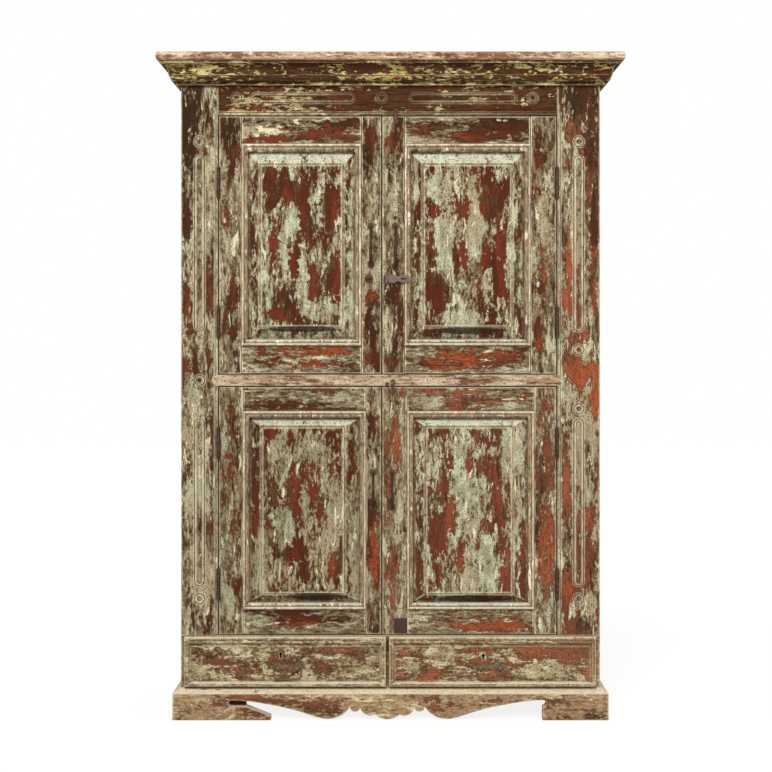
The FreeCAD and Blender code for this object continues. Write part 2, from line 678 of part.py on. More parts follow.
def side_rails(hand):
    """Return one side's rails with their tenons."""
    x0 = LEFT if hand == "left" else SIDE_INNER
    tenon_x = x0 + (SIDE_RAIL_THICK - FRONT_TENON_THICK) / 2
    rails = []
    for z0, z1 in side_levels():
        rail = box(x0, x0 + SIDE_RAIL_THICK, POST_BACK, REAR_POST_FRONT, z0, z1)
        tenon = box(tenon_x, tenon_x + FRONT_TENON_THICK, POST_BACK - POST_THICK / 2,
                    REAR_POST_FRONT + REAR_POST_DEPTH / 2, z0 + TENON_SHOULDER, z1 - TENON_SHOULDER)
        rails.append(fuse([rail, tenon]))
    return rails


def side_panels(hand):
    """Return one side's two flat panels, grown by their tongues."""
    if hand == "left":
        x0 = LEFT + SIDE_PANEL_SETBACK
    else:
        x0 = RIGHT - SIDE_PANEL_SETBACK - SIDE_PANEL_THICK
    levels = side_levels()
    panels = []
    for below, above in zip(levels, levels[1:]):
        panels.append(box(x0, x0 + SIDE_PANEL_THICK, POST_BACK - SIDE_GROOVE_DEPTH,
                          REAR_POST_FRONT + SIDE_GROOVE_DEPTH, below[1] - SIDE_GROOVE_DEPTH,
                          above[0] + SIDE_GROOVE_DEPTH))
    return panels


def side_joinery(hand):
    """Return what a post is cut by on its side's face."""
    return side_rails(hand) + side_panels(hand)


def build_sides_and_back():
    """Write the side frames, the rear posts, the shelves and the back planks."""
    rails = []
    panels = []
    posts = []
    for hand in ("left", "right"):
        own_panels = side_panels(hand)
        panels += own_panels
        rails += [rail.cut(own_panels) for rail in side_rails(hand)]
        x0 = LEFT if hand == "left" else RIGHT - REAR_POST_WIDTH
        post = box(x0, x0 + REAR_POST_WIDTH, REAR_POST_FRONT, BACK, Z_FLOOR, Z_TOP_UNDER)
        posts.append(post)
    save("side_panels", panels)
    save("side_rails", rails)
    save("posts_rear", [post.cut(side_joinery(hand)) for post, hand in zip(posts, ("left", "right"))])

    shelf_tops = (Z_FLOOR + LOWER_SHELF_RISE, Z_UPPER, Z_UPPER + UPPER_SHELF_RISE)
    boards = []
    battens = []
    for top in shelf_tops:
        under = top - SHELF_THICK
        board = box(-SIDE_INNER, SIDE_INNER, POST_BACK, BACK_FACE, under, top)
        boards.append(board.cut(posts))
        for x0 in (-SIDE_INNER, SIDE_INNER - BATTEN_WIDTH):
            battens.append(box(x0, x0 + BATTEN_WIDTH, POST_BACK, REAR_POST_FRONT,
                               under - BATTEN_HEIGHT, under))
    save("shelves", [boards[0], boards[2]])
    save("mid_floor", [boards[1]])
    save("shelf_battens", battens)

    inner = RIGHT - REAR_POST_WIDTH
    pitch = 2 * inner / BACK_PLANKS
    save("back_planks", [box(-inner + i * pitch, -inner + (i + 1) * pitch - PLANK_GAP, BACK_FACE, BACK,
                             Z_FLOOR, Z_TOP_UNDER) for i in range(BACK_PLANKS)])


def build_cornice():
    """Write the top board with its rounded nosing and the mitred mouldings under it."""
    board = box(LEFT - CORNICE_OVERHANG, RIGHT + CORNICE_OVERHANG, FRONT - CORNICE_OVERHANG, BACK,
                Z_TOP_UNDER, Z_TOP_UNDER + TOP_THICK)
    edges = []
    for edge in board.Edges:
        middle = edge.CenterOfMass
        level_edge = abs(edge.Vertexes[0].Z - edge.Vertexes[1].Z) < NOSING_RADIUS
        if level_edge and middle.y < BACK - NOSING_RADIUS:
            edges.append(edge)
    save("cornice_top_board", [board.makeFillet(NOSING_RADIUS, edges)])

    def corner(x, y, out_x, out_y):
        def place(u, v):
            reach = u * CORNICE_OVERHANG
            return V(x + out_x * reach, y + out_y * reach, Z_CORNICE + v * CORNICE_MOULDING_HEIGHT)
        return section(CORNICE_SHARES, place)

    front_left = corner(LEFT, FRONT, -1, -1)
    front_right = corner(RIGHT, FRONT, 1, -1)
    save("cornice_front_moulding", [run_between(front_left, front_right)])
    save("cornice_side_mouldings", [run_between(front_left, corner(LEFT, BACK, -1, 0)),
                                    run_between(front_right, corner(RIGHT, BACK, 1, 0))])


# Doors

def hinge_axis(door):
    """Return the x of a door's hinge axis, in the middle of the gap beside its post."""
    edge = door.x0 if door.side > 0 else door.x1
    return edge - door.side * DOOR_GAP / 2


def hinge_feet(door):
    """Return the lower ends of a door's two hinges."""
    return (door.z0 + door.hinge_rise - HINGE_LENGTH / 2,
            door.z1 - door.hinge_drop - HINGE_LENGTH / 2)


def hinge_leaf(axis, hand, foot, knuckles, others, bore):
    """Return one leaf: a plate on the side of hand, with its knuckles and its bore."""
    axis_y = FRONT - HINGE_PROUD
    near, far = sorted((axis + hand * LEAF_CLEAR, axis + hand * DOOR_GAP / 2))
    plate = box(near, far, axis_y, FRONT + LEAF_DEPTH, foot, foot + HINGE_LENGTH)
    barrels = [rod(V(axis, axis_y, z0), KNUCKLE_RADIUS, V(0, 0, z1 - z0)) for z0, z1 in knuckles]
    leaf = fuse([plate] + barrels)
    room = KNUCKLE_CLEAR / 2
    clear = [rod(V(axis, axis_y, z0 - room), KNUCKLE_RADIUS + KNUCKLE_CLEAR, V(0, 0, z1 - z0 + 2 * room))
             for z0, z1 in others]
    through = rod(V(axis, axis_y, foot - CUT_OVERRUN), bore, V(0, 0, HINGE_LENGTH + 2 * CUT_OVERRUN))
    return leaf.cut(clear + [through])


def hinge_sets(door):
    """Return a door's moving leaves, fixed leaves, pins and the notches that they need."""
    axis = hinge_axis(door)
    axis_y = FRONT - HINGE_PROUD
    third = HINGE_LENGTH / 3
    moving = []
    fixed = []
    pins = []
    notches = []
    for foot in hinge_feet(door):
        middle = [(foot + third, foot + 2 * third)]
        ends = [(foot, foot + third), (foot + 2 * third, foot + HINGE_LENGTH)]
        moving.append(hinge_leaf(axis, door.side, foot, middle, ends, PIN_RADIUS + PIN_CLEAR))
        fixed.append(hinge_leaf(axis, -door.side, foot, ends, middle, PIN_RADIUS))
        shank = rod(V(axis, axis_y, foot), PIN_RADIUS, V(0, 0, HINGE_LENGTH))
        caps = [rod(V(axis, axis_y, foot), PIN_HEAD_RADIUS, V(0, 0, -PIN_HEAD_THICK)),
                rod(V(axis, axis_y, foot + HINGE_LENGTH), PIN_HEAD_RADIUS, V(0, 0, PIN_HEAD_THICK))]
        pins.append(fuse([shank] + caps))
        room = PIN_HEAD_THICK + KNUCKLE_CLEAR
        notches.append(rod(V(axis, axis_y, foot - room), KNUCKLE_RADIUS + KNUCKLE_CLEAR,
                           V(0, 0, HINGE_LENGTH + 2 * room)))
    return moving, fixed, pins, notches


def door_panel(x0, x1, z0, z1, moulding_top, bevels):
    """Return a raised and fielded panel; insets run left, right, top, foot."""
    seat = FRONT + PANEL_SEAT
    depth = PANEL_GROOVE_DEPTH
    tongue = box(x0 - depth, x1 + depth, seat, seat + PANEL_TONGUE_THICK, z0 - depth, z1 + depth)

    def rectangle(insets, y):
        left, right, top, foot = insets
        plan = [(x0 + left, z0 + foot), (x1 - right, z0 + foot), (x1 - right, z1 - top),
                (x0 + left, z1 - top)]
        return Part.makePolygon([V(x, y, z) for x, z in plan + plan[:1]])

    side = MOULDING_WIDTH + PANEL_MARGIN
    rim = (side, side, moulding_top + PANEL_MARGIN, side)
    ledge = [inset + bevel for inset, bevel in zip(rim, bevels)]
    field = [inset + PANEL_FIELD_LEDGE for inset in ledge]
    crest = seat - PANEL_BEVEL_RISE
    bevel = Part.makeLoft([rectangle(rim, seat), rectangle(ledge, crest)], True, True)
    raised = Part.Face(rectangle(field, crest)).extrude(V(0, -PANEL_FIELD_STEP, 0))
    return fuse([tongue, bevel, raised])


def build_door(door, extra_cuts):
    """Write one door's frame, panel, panel moulding, hinge leaves and handle."""
    y0 = FRONT
    y1 = FRONT + DOOR_THICK
    inner_x0 = door.x0 + door.left_stile
    inner_x1 = door.x1 - door.right_stile
    inner_z0 = door.z0 + door.bottom_rail
    inner_z1 = door.z1 - door.top_rail
    panel = door_panel(inner_x0, inner_x1, inner_z0, inner_z1, door.moulding_top, door.bevels)
    tenon_y = FRONT + PANEL_SEAT
    rails = []
    for z0, z1 in ((door.z0, inner_z0), (inner_z1, door.z1)):
        rail = level(inner_x0, inner_x1, y0, y1, z0, z1)
        low = max(z0, door.z0 + TENON_SHOULDER)
        high = min(z1, door.z1 - TENON_SHOULDER)
        tenon = box(inner_x0 - DOOR_TENON_LENGTH, inner_x1 + DOOR_TENON_LENGTH, tenon_y,
                    tenon_y + DOOR_TENON_THICK, low, high)
        rails.append(fuse([rail, tenon]))
    moving, fixed, pins, notches = hinge_sets(door)
    stiles = [upright(door.x0, inner_x0, y0, y1, door.z0, door.z1),
              upright(inner_x1, door.x1, y0, y1, door.z0, door.z1)]
    stiles = [stile.cut(rails + [panel] + notches + extra_cuts) for stile in stiles]
    rails = [rail.cut([panel] + extra_cuts) for rail in rails]
    save(door.name + "_door_frame", stiles + rails)
    save(door.name + "_door_panel", [panel])
    widths = (MOULDING_WIDTH, MOULDING_WIDTH, door.moulding_top, MOULDING_WIDTH)
    strips = frame_moulding(inner_x0, inner_x1, inner_z0, inner_z1, FRONT + PANEL_SEAT, widths,
                            PANEL_SEAT + MOULDING_PROUD, MOULDING_SHARES)
    save(door.name + "_panel_moulding", strips)
    save(door.name + "_hinge_leaves", moving)
    build_handle(door)
    return fixed, pins, notches


def build_handle(door):
    """Write a door's bow handle: a tapered bar between two round heads."""
    length = door.handle_length
    x = door.x1 - door.handle_inset if door.side > 0 else door.x0 + door.handle_inset
    root = HANDLE_DISC_THICK + HANDLE_FOOT_RADIUS
    top = V(x, FRONT - root, door.z1 - door.handle_drop)
    foot = top - V(0, 0, length)
    crown = top - V(0, HANDLE_RISE - root, length / 2)
    bow = Part.Arc(top, crown, foot)
    path = Part.Wire([bow.toShape()])
    ends = []
    for parameter, radius in ((bow.FirstParameter, HANDLE_TOP_RADIUS),
                              (bow.LastParameter, HANDLE_FOOT_RADIUS)):
        ring = Part.makeCircle(radius, bow.value(parameter), V(*bow.tangent(parameter)[0]))
        ends.append(Part.Wire([ring]))
    bar = path.makePipeShell(ends, True, False)
    pieces = [bar]
    for place in (top, foot):
        pieces.append(rod(V(x, FRONT, place.z), HANDLE_DISC_RADIUS, V(0, -HANDLE_DISC_THICK, 0)))
        pieces.append(rod(V(x, FRONT, place.z), HANDLE_BOSS_RADIUS,
                          V(0, -HANDLE_DISC_THICK - HANDLE_BOSS_THICK, 0)))
    save(door.name + "_handle", [fuse(pieces)])


def build_hasp(right, left):
    """Write the hasp, its hinge plate on the right door and its staple on the left door."""
    x = right.x0 + HASP_AXIS_INSET
    handle_feet = [door.z1 - door.handle_drop - door.handle_length for door in (right, left)]
    z = min(handle_feet) - HASP_BELOW_HANDLES
    axis_y = FRONT - HASP_AXIS_PROUD
    half = HASP_KNUCKLE_LENGTH / 2
    y0 = axis_y - HASP_THICK / 2
    y1 = axis_y + HASP_THICK / 2
    slot_a = (x + HASP_SLOT_CENTRE - HASP_SLOT_HALF_LENGTH + HASP_SLOT_HALF_WIDTH, z)
    slot_b = (x + HASP_SLOT_CENTRE + HASP_SLOT_HALF_LENGTH - HASP_SLOT_HALF_WIDTH, z)
    strap = fuse([
        rod(V(x, axis_y, z - half), HASP_KNUCKLE_RADIUS, V(0, 0, HASP_KNUCKLE_LENGTH)),
        box(x, x + HASP_SHOULDER_START, y0, y1, z - HASP_NECK_HALF, z + HASP_NECK_HALF),
        stadium((x + HASP_SHOULDER_START, z), (x + HASP_SHOULDER_END, z), HASP_SHOULDER_HALF, y0, y1),
        box(x + HASP_SHOULDER_START, slot_a[0], y0, y1, z - HASP_WAIST_HALF, z + HASP_WAIST_HALF),
        stadium(slot_a, slot_b, HASP_END_HALF, y0, y1)])
    slot = stadium(slot_a, slot_b, HASP_SLOT_HALF_WIDTH, y0 - CUT_OVERRUN, y1 + CUT_OVERRUN)
    bore = rod(V(x, axis_y, z - half - CUT_OVERRUN), HASP_PIN_RADIUS + PIN_CLEAR,
               V(0, 0, HASP_KNUCKLE_LENGTH + 2 * CUT_OVERRUN))
    save("hasp", [strap.cut([slot, bore])])

    reach = HASP_PLATE_HALF_HEIGHT
    plate = [box(x - HASP_KNUCKLE_RADIUS, x + HASP_PLATE_WIDTH, FRONT - HASP_PLATE_THICK, FRONT,
                 z - reach, z + reach),
             rod(V(x, axis_y, z - reach), HASP_PIN_RADIUS, V(0, 0, 2 * reach))]
    start = half + HASP_KNUCKLE_CLEAR
    for z0, z1 in ((z - reach, z - start), (z + start, z + reach)):
        plate.append(rod(V(x, axis_y, z0), HASP_KNUCKLE_RADIUS, V(0, 0, z1 - z0)))
        plate.append(box(x - HASP_KNUCKLE_RADIUS, x, axis_y, FRONT, z0, z1))
    save("hasp_hinge_plate", [fuse(plate)])

    staple_x = x - HASP_SLOT_CENTRE
    spread = STAPLE_LEG_SPACING / 2
    base = rod(V(staple_x, FRONT, z), STAPLE_PLATE_RADIUS, V(0, -STAPLE_PLATE_THICK, 0))
    crown_y = FRONT - STAPLE_REACH
    bow = Part.Arc(V(staple_x - spread, crown_y, z), V(staple_x, crown_y - spread, z),
                   V(staple_x + spread, crown_y, z))
    ring = Part.Wire([Part.makeCircle(STAPLE_WIRE_RADIUS, V(staple_x - spread, crown_y, z), V(0, 1, 0))])
    pieces = [base, Part.Wire([bow.toShape()]).makePipeShell([ring], True, False)]
    for leg in (staple_x - spread, staple_x + spread):
        pieces.append(rod(V(leg, FRONT, z), STAPLE_WIRE_RADIUS, V(0, -STAPLE_REACH, 0)))
    save("hasp_staple", [fuse(pieces)])


def build_hooks(doors):
    """Write the two pivoted hooks and return the bores for their stems, by door."""
    bores = {}
    for door, x, z in hook_places(doors):
        y1 = FRONT - HOOK_STAND
        y0 = y1 - HOOK_THICK
        head_z = z + HOOK_REACH
        plate = fuse([
            rod(V(x, y1, z), HOOK_ROOT_RADIUS, V(0, -HOOK_THICK, 0)),
            rod(V(x, y1, head_z), HOOK_HEAD_RADIUS, V(0, -HOOK_THICK, 0)),
            box(x - HOOK_NECK_HALF, x + HOOK_NECK_HALF, y0, y1, z, head_z),
            rod(V(x, FRONT + HOOK_STEM_DEPTH, z), HOOK_STEM_RADIUS,
                V(0, -HOOK_STEM_DEPTH - HOOK_STAND - HOOK_THICK, 0)),
            rod(V(x, y0, z), HOOK_CAP_RADIUS, V(0, -HOOK_CAP_THICK, 0))])
        start = V(x, y1 + CUT_OVERRUN, z)
        run = V(0, -HOOK_THICK - 2 * CUT_OVERRUN, 0)
        slot = STUD_RADIUS + STUD_CLEAR
        ring = rod(start, HOOK_REACH + slot, run).cut(rod(start, HOOK_REACH - slot, run))
        mouth = box(x - HOOK_REACH, x, y0 - CUT_OVERRUN, y1 + CUT_OVERRUN, z, head_z + HOOK_HEAD_RADIUS)
        seat = rod(V(x, y1 + CUT_OVERRUN, head_z), slot, run)
        save(door.name + "_hook", [plate.cut([ring.common(mouth), seat])])
        bores[door.name] = [rod(V(x, FRONT - CUT_OVERRUN, z), HOOK_STEM_RADIUS + HOOK_STEM_CLEAR,
                                V(0, HOOK_STEM_DEPTH + CUT_OVERRUN + STUD_CLEAR, 0))]
    return bores


def build_doors():
    """Write every door with its ironwork, and the front that carries them."""
    doors = door_specs()
    bores = build_hooks(doors)
    fixed = []
    pins = []
    notches = {"left": [], "right": []}
    for door in doors.values():
        door_fixed, door_pins, door_notches = build_door(door, bores.get(door.name, []))
        fixed += door_fixed
        pins += door_pins
        notches["left" if door.side > 0 else "right"] += door_notches
    save("hinge_fixed_leaves", fixed)
    save("hinge_pins", pins)
    build_hasp(doors["upper_right"], doors["upper_left"])
    build_front(doors, notches)


# Drawers

def dovetails(x0, x1, y, z0, z1):
    """Return the tails on a drawer side's front end, which reach forward from y."""
    pitch = (z1 - z0) / DRAWER_TAILS
    tails = []
    for i in range(DRAWER_TAILS):
        middle = z0 + (i + 0.5) * pitch
        root = pitch * DRAWER_TAIL_SHARE / 2
        tip = root + DRAWER_TAIL_FLARE
        end = [(y, middle - root), (y - DRAWER_TAIL_LENGTH, middle - tip),
               (y - DRAWER_TAIL_LENGTH, middle + tip), (y, middle + root)]
        tails.append(prism([V(x0, py, pz) for py, pz in end], V(x1 - x0, 0, 0)))
    return tails


def build_drawer(hand, lip_x0, lip_x1, hole_x0, hole_x1, key_shift, key_rise, pull_shift):
    """Write one drawer's lipped front, dovetailed box, pull plate and bail."""
    lip_y = FRONT - DRAWER_LIP_THICK
    lip_z0 = Z_DRAWERS - DRAWER_LIP_BELOW
    lip_z1 = Z_FLOOR_UNDER + DRAWER_LIP_ABOVE
    back_y = FRONT + DRAWER_FRONT_INNER
    box_x0 = hole_x0 + DRAWER_SIDE_CLEAR
    box_x1 = hole_x1 - DRAWER_SIDE_CLEAR
    box_z0 = Z_DRAWERS + DRAWER_RUN_CLEAR
    box_z1 = Z_FLOOR_UNDER - DRAWER_TOP_CLEAR
    middle = (lip_x0 + lip_x1) / 2

    front = fuse([box(lip_x0, lip_x1, lip_y, FRONT - DRAWER_LIP_CLEAR, lip_z0, lip_z1),
                  box(box_x0, box_x1, FRONT - DRAWER_LIP_CLEAR, back_y, box_z0, box_z1)])
    key_x = middle + key_shift
    key_z = Z_DRAWERS + key_rise
    key_y0 = lip_y - CUT_OVERRUN
    key_y1 = back_y + CUT_OVERRUN
    key = [rod(V(key_x, key_y0, key_z), KEYHOLE_RADIUS, V(0, key_y1 - key_y0, 0)),
           box(key_x - KEYHOLE_SLOT_HALF, key_x + KEYHOLE_SLOT_HALF, key_y0, key_y1,
               key_z - KEYHOLE_SLOT_LENGTH, key_z)]

    end_y = BACK_FACE - DRAWER_BACK_CLEAR
    bottom_z = box_z0 + DRAWER_BOTTOM_RISE
    bottom = box(box_x0 + DRAWER_SIDE_THICK - DRAWER_GROOVE_DEPTH,
                 box_x1 - DRAWER_SIDE_THICK + DRAWER_GROOVE_DEPTH,
                 back_y - DRAWER_GROOVE_DEPTH, end_y, bottom_z, bottom_z + DRAWER_BOTTOM_THICK)
    sides = []
    tails = []
    for x0 in (box_x0, box_x1 - DRAWER_SIDE_THICK):
        x1 = x0 + DRAWER_SIDE_THICK
        own = dovetails(x0, x1, back_y, box_z0, box_z1)
        tails += own
        sides.append(fuse([box(x0, x1, back_y, end_y, box_z0, box_z1)] + own).cut(bottom))
    back = box(box_x0 + DRAWER_SIDE_THICK, box_x1 - DRAWER_SIDE_THICK, end_y - DRAWER_SIDE_THICK, end_y,
               bottom_z + DRAWER_BOTTOM_THICK, box_z1)
    widths = (DRAWER_MOULDING_FOOT, DRAWER_MOULDING_SIDE, DRAWER_MOULDING_TOP, DRAWER_MOULDING_SIDE)
    strips = frame_moulding(lip_x0, lip_x1, lip_z0, lip_z1, lip_y, widths, DRAWER_MOULDING_PROUD,
                            DRAWER_MOULDING_SHARES)
    save(hand + "_drawer_front", [front.cut(key + tails + [bottom])] + strips)
    save(hand + "_drawer_box", sides + [back, bottom])
    build_pull(hand, middle + pull_shift, lip_y, lip_z0 + PULL_RISE)


def build_pull(hand, x, y, z):
    """Write a drawer's pull plate with its two posts, and the bail that swings in them."""
    y0 = y - PULL_PLATE_THICK
    end = PULL_PLATE_HALF - PULL_END_RADIUS
    span = PULL_POST_HALF_SPAN
    pieces = [stadium((x - end, z), (x + end, z), PULL_END_RADIUS, y0, y),
              stadium((x - span, z), (x + span, z), PULL_PLATE_WAIST, y0, y)]
    axis_y = y - PULL_AXIS_REACH
    for post_x in (x - span, x + span):
        pieces.append(rod(V(post_x, y, z), PULL_LOBE_RADIUS, V(0, -PULL_PLATE_THICK, 0)))
        pieces.append(rod(V(post_x, y, z), PULL_POST_RADIUS, V(0, -PULL_POST_REACH, 0)))
    plate = fuse(pieces)
    reach = span + BAIL_LEG_OUTSET
    bore = rod(V(x - reach, axis_y, z), BAIL_RADIUS + BAIL_PIVOT_CLEAR, V(2 * reach, 0, 0))
    save(hand + "_pull_plate", [plate.cut(bore)])

    tail = span - PULL_POST_RADIUS - BAIL_TAIL
    foot = z - BAIL_DROP
    bend = BAIL_SHOULDER_BEND
    big = BAIL_FOOT_BEND
    turn = 1 - math.sqrt(0.5)

    def at(px, pz):
        return V(px, axis_y, pz)

    edges = [Part.makeLine(at(x - tail, z), at(x - reach + bend, z)),
             Part.Arc(at(x - reach + bend, z), at(x - reach + bend * turn, z - bend * turn),
                      at(x - reach, z - bend)).toShape(),
             Part.makeLine(at(x - reach, z - bend), at(x - reach, foot + big)),
             Part.Arc(at(x - reach, foot + big), at(x - reach + big * turn, foot + big * turn),
                      at(x - reach + big, foot)).toShape(),
             Part.makeLine(at(x - reach + big, foot), at(x + reach - big, foot)),
             Part.Arc(at(x + reach - big, foot), at(x + reach - big * turn, foot + big * turn),
                      at(x + reach, foot + big)).toShape(),
             Part.makeLine(at(x + reach, foot + big), at(x + reach, z - bend)),
             Part.Arc(at(x + reach, z - bend), at(x + reach - bend * turn, z - bend * turn),
                      at(x + reach - bend, z)).toShape(),
             Part.makeLine(at(x + reach - bend, z), at(x + tail, z))]
    ring = Part.Wire([Part.makeCircle(BAIL_RADIUS, at(x - tail, z), V(1, 0, 0))])
    save(hand + "_pull_bail", [Part.Wire(edges).makePipeShell([ring], True, False)])


def build_drawers():
    """Write both drawers."""
    half = BASE_DIVIDER_THICK / 2
    gap = DRAWER_MEETING_GAP / 2
    build_drawer("left", LEFT + DRAWER_LEFT_MARGIN, BASE_DIVIDER_X - gap, LEFT + BASE_SIDE_THICK,
                 BASE_DIVIDER_X - half, LEFT_KEYHOLE_SHIFT, LEFT_KEYHOLE_RISE, LEFT_PULL_SHIFT)
    build_drawer("right", BASE_DIVIDER_X + gap, RIGHT - DRAWER_RIGHT_MARGIN, BASE_DIVIDER_X + half,
                 RIGHT - BASE_SIDE_THICK, RIGHT_KEYHOLE_SHIFT, RIGHT_KEYHOLE_RISE, RIGHT_PULL_SHIFT)


def main():
    """Build the whole cupboard."""
    os.makedirs("parts", exist_ok=True)
    build_plinth()
    build_drawer_case()
    build_doors()
    build_sides_and_back()
    build_cornice()
    build_drawers()


main()
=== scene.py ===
import logging
import math
from dataclasses import dataclass, field, replace
from enum import Enum
from functools import cached_property
from typing import Callable, Optional, Union

import bpy
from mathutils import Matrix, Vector


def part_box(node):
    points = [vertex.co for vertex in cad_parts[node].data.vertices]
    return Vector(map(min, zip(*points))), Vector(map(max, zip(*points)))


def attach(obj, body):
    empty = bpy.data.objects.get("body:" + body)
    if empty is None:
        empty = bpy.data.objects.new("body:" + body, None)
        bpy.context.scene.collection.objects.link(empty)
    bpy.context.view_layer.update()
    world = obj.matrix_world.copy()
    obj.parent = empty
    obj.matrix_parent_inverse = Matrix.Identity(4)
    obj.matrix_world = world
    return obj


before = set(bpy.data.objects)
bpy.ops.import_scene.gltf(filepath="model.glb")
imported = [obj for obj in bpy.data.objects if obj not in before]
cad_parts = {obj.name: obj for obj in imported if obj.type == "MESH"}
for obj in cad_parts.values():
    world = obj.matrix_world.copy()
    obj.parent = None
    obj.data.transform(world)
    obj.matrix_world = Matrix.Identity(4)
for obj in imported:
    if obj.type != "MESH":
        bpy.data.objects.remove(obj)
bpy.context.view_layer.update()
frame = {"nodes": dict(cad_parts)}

log = logging.getLogger("cupboard")

Number = Union[float, "Value"]
Triple = tuple[float, float, float]
Colour = tuple[float, float, float, float]
Pair = tuple[Colour, Colour]
Place = tuple[float, float, float, float]
Feeds = dict[Union[int, str], object]


class Grain(Enum):
    """Direction in which a board's fibres and its paint streaks run."""

    ACROSS = (0.36, 1.0, 1.0)
    DEEP = (1.0, 0.36, 1.0)
    UPRIGHT = (1.0, 1.0, 0.36)

    def drawn_out(self, lengthening: float = 1.0) -> Triple:
        """Return the scales that draw a pattern out along the grain.

        Args:
            lengthening: How much longer the streaks are than the grain's own stretch.

        Returns:
            A scale for each axis.
        """
        return tuple(scale if scale == 1.0 else scale / lengthening for scale in self.value)


class Door(Enum):
    """The four doors, by the start of their nodes' names."""

    UPPER_LEFT = "upper_left"
    UPPER_RIGHT = "upper_right"
    LOWER_LEFT = "lower_left"
    LOWER_RIGHT = "lower_right"


class Inner(Enum):
    """The faces of a node that look into the cupboard and were never painted."""

    NONE = "none"
    BEHIND = "the back face"
    BETWEEN = "all but the outer skins of the two sides"
    WITHIN = "all but the front edge and the two ends"


class Mark(Enum):
    """What a patch does to the coats of a board."""

    KEPT = "paint has lasted"
    LOST = "paint is gone"
    BRIGHT = "paint is gone and the red below is bright"
    PALE = "cream shows"
    DIM = "the bare wood is dark with old varnish"
    # Painted shadow and dirt: dark lines under the raised fields, and painted shade that stands in for small
    # holes.
    SHADE_AND_DIRT = "dirt covers the board"


# How far each mark raises or lowers the noise of a layer.
PAINT_SHIFT = {Mark.KEPT: 0.075, Mark.LOST: -0.085, Mark.BRIGHT: -0.09, Mark.DIM: -0.03}
RED_SHIFT = {Mark.BRIGHT: 0.21}
PALE_SHIFT = {Mark.PALE: 0.13}
DIM_SHIFT = {Mark.DIM: 0.9}
# The dark patches paint shadow and dirt under the raised fields, and shade in small holes.
SHADE_AND_DIRT_SHIFT = {Mark.SHADE_AND_DIRT: 0.85}
# How far, in metres, and how finely the rims of patches are pushed about.
RAGGED_PUSH: Triple = (0.05, 0.0, 0.08)
RAGGED_SCALE = 55.0
# Where a patch starts to fade and where it is gone, as the square of a share of its half size.
PATCH_FADE = (0.1, 1.9)
# Where a joint and the lines beside it fade, in widths of a line.
JOINT_FADE = (0.3, 0.8)
BESIDE_FADE = (1.4, 2.2)
# How far a paint's seed, a cloud's turn and a wood's seed move the noise along each axis.
SEED_STEP: Triple = (3.7, 1.3, 2.1)
TURN_STEP: Triple = (5.3, 2.9, 7.7)
WOOD_STEP: Triple = (1.0, 2.3, 1.7)
BUMP_STRENGTH = 0.6
SPECULAR_LEVEL = 0.03


def srgb(red: float, green: float, blue: float) -> Colour:
    """Turn a display colour into the linear one that shaders take.

    Args:
        red: Display red from 0 to 255.
        green: Display green from 0 to 255.
        blue: Display blue from 0 to 255.

    Returns:
        The linear colour with full alpha.
    """
    def linear(level: float) -> float:
        """Undo the display curve of one channel.

        Args:
            level: Display level from 0 to 255.

        Returns:
            The linear level from 0 to 1.
        """
        share = level / 255
        return share / 12.92 if share <= 0.04045 else ((share + 0.055) / 1.055) ** 2.4
    return linear(red), linear(green), linear(blue), 1.0


@dataclass(frozen=True)
class Wire:
    """A socket of a shader's node, which can feed another node."""

    graph: "Graph"
    socket: bpy.types.NodeSocket


def operator(operation: str, reflected: bool = False) -> Callable[["Value", Number], "Value"]:
    """Return the method for one of Python's operators.

    Args:
        operation: The Math node's operation.
        reflected: Whether a plain number comes first.

    Returns:
        The method.
    """
    def apply(value: "Value", other: Number) -> "Value":
        """Work out the result.

        Args:
            value: The value whose method this is.
            other: The other operand.

        Returns:
            The result.
        """
        if reflected:
            return value.graph.number(other).math(operation, value)
        return value.math(operation, other)
    return apply


class Value(Wire):
    """A number socket, with Python's operators."""

    __add__ = __radd__ = operator("ADD")
    __sub__ = operator("SUBTRACT")
    __rsub__ = operator("SUBTRACT", reflected=True)
    __mul__ = __rmul__ = operator("MULTIPLY")
    __truediv__ = operator("DIVIDE")

    def math(self, operation: str, *others: Number) -> "Value":
        """Apply a Math node.

        Args:
            operation: The node's operation.
            others: Its further operands.

        Returns:
            The result.
        """
        inputs = {index: operand for index, operand in enumerate((self, *others))}
        node = self.graph.node("ShaderNodeMath", {"operation": operation}, inputs)
        return Value(self.graph, node.outputs[0])

    def ramp(self, low: Number, high: Number) -> "Value":
        """Rise smoothly from 0 to 1.

        Args:
            low: Value at which the rise starts.
            high: Value at which it ends.

        Returns:
            The smooth step.
        """
        node = self.graph.node("ShaderNodeMapRange", {"interpolation_type": "SMOOTHSTEP"},
                               {"Value": self, "From Min": low, "From Max": high})
        return Value(self.graph, node.outputs[0])

    def over(self, edge: Number, soft: float) -> "Value":
        """Step from 0 to 1 at an edge.

        Args:
            edge: Middle of the step.
            soft: Half the step's width.

        Returns:
            The mask.
        """
        return self.ramp(edge - soft, edge + soft)


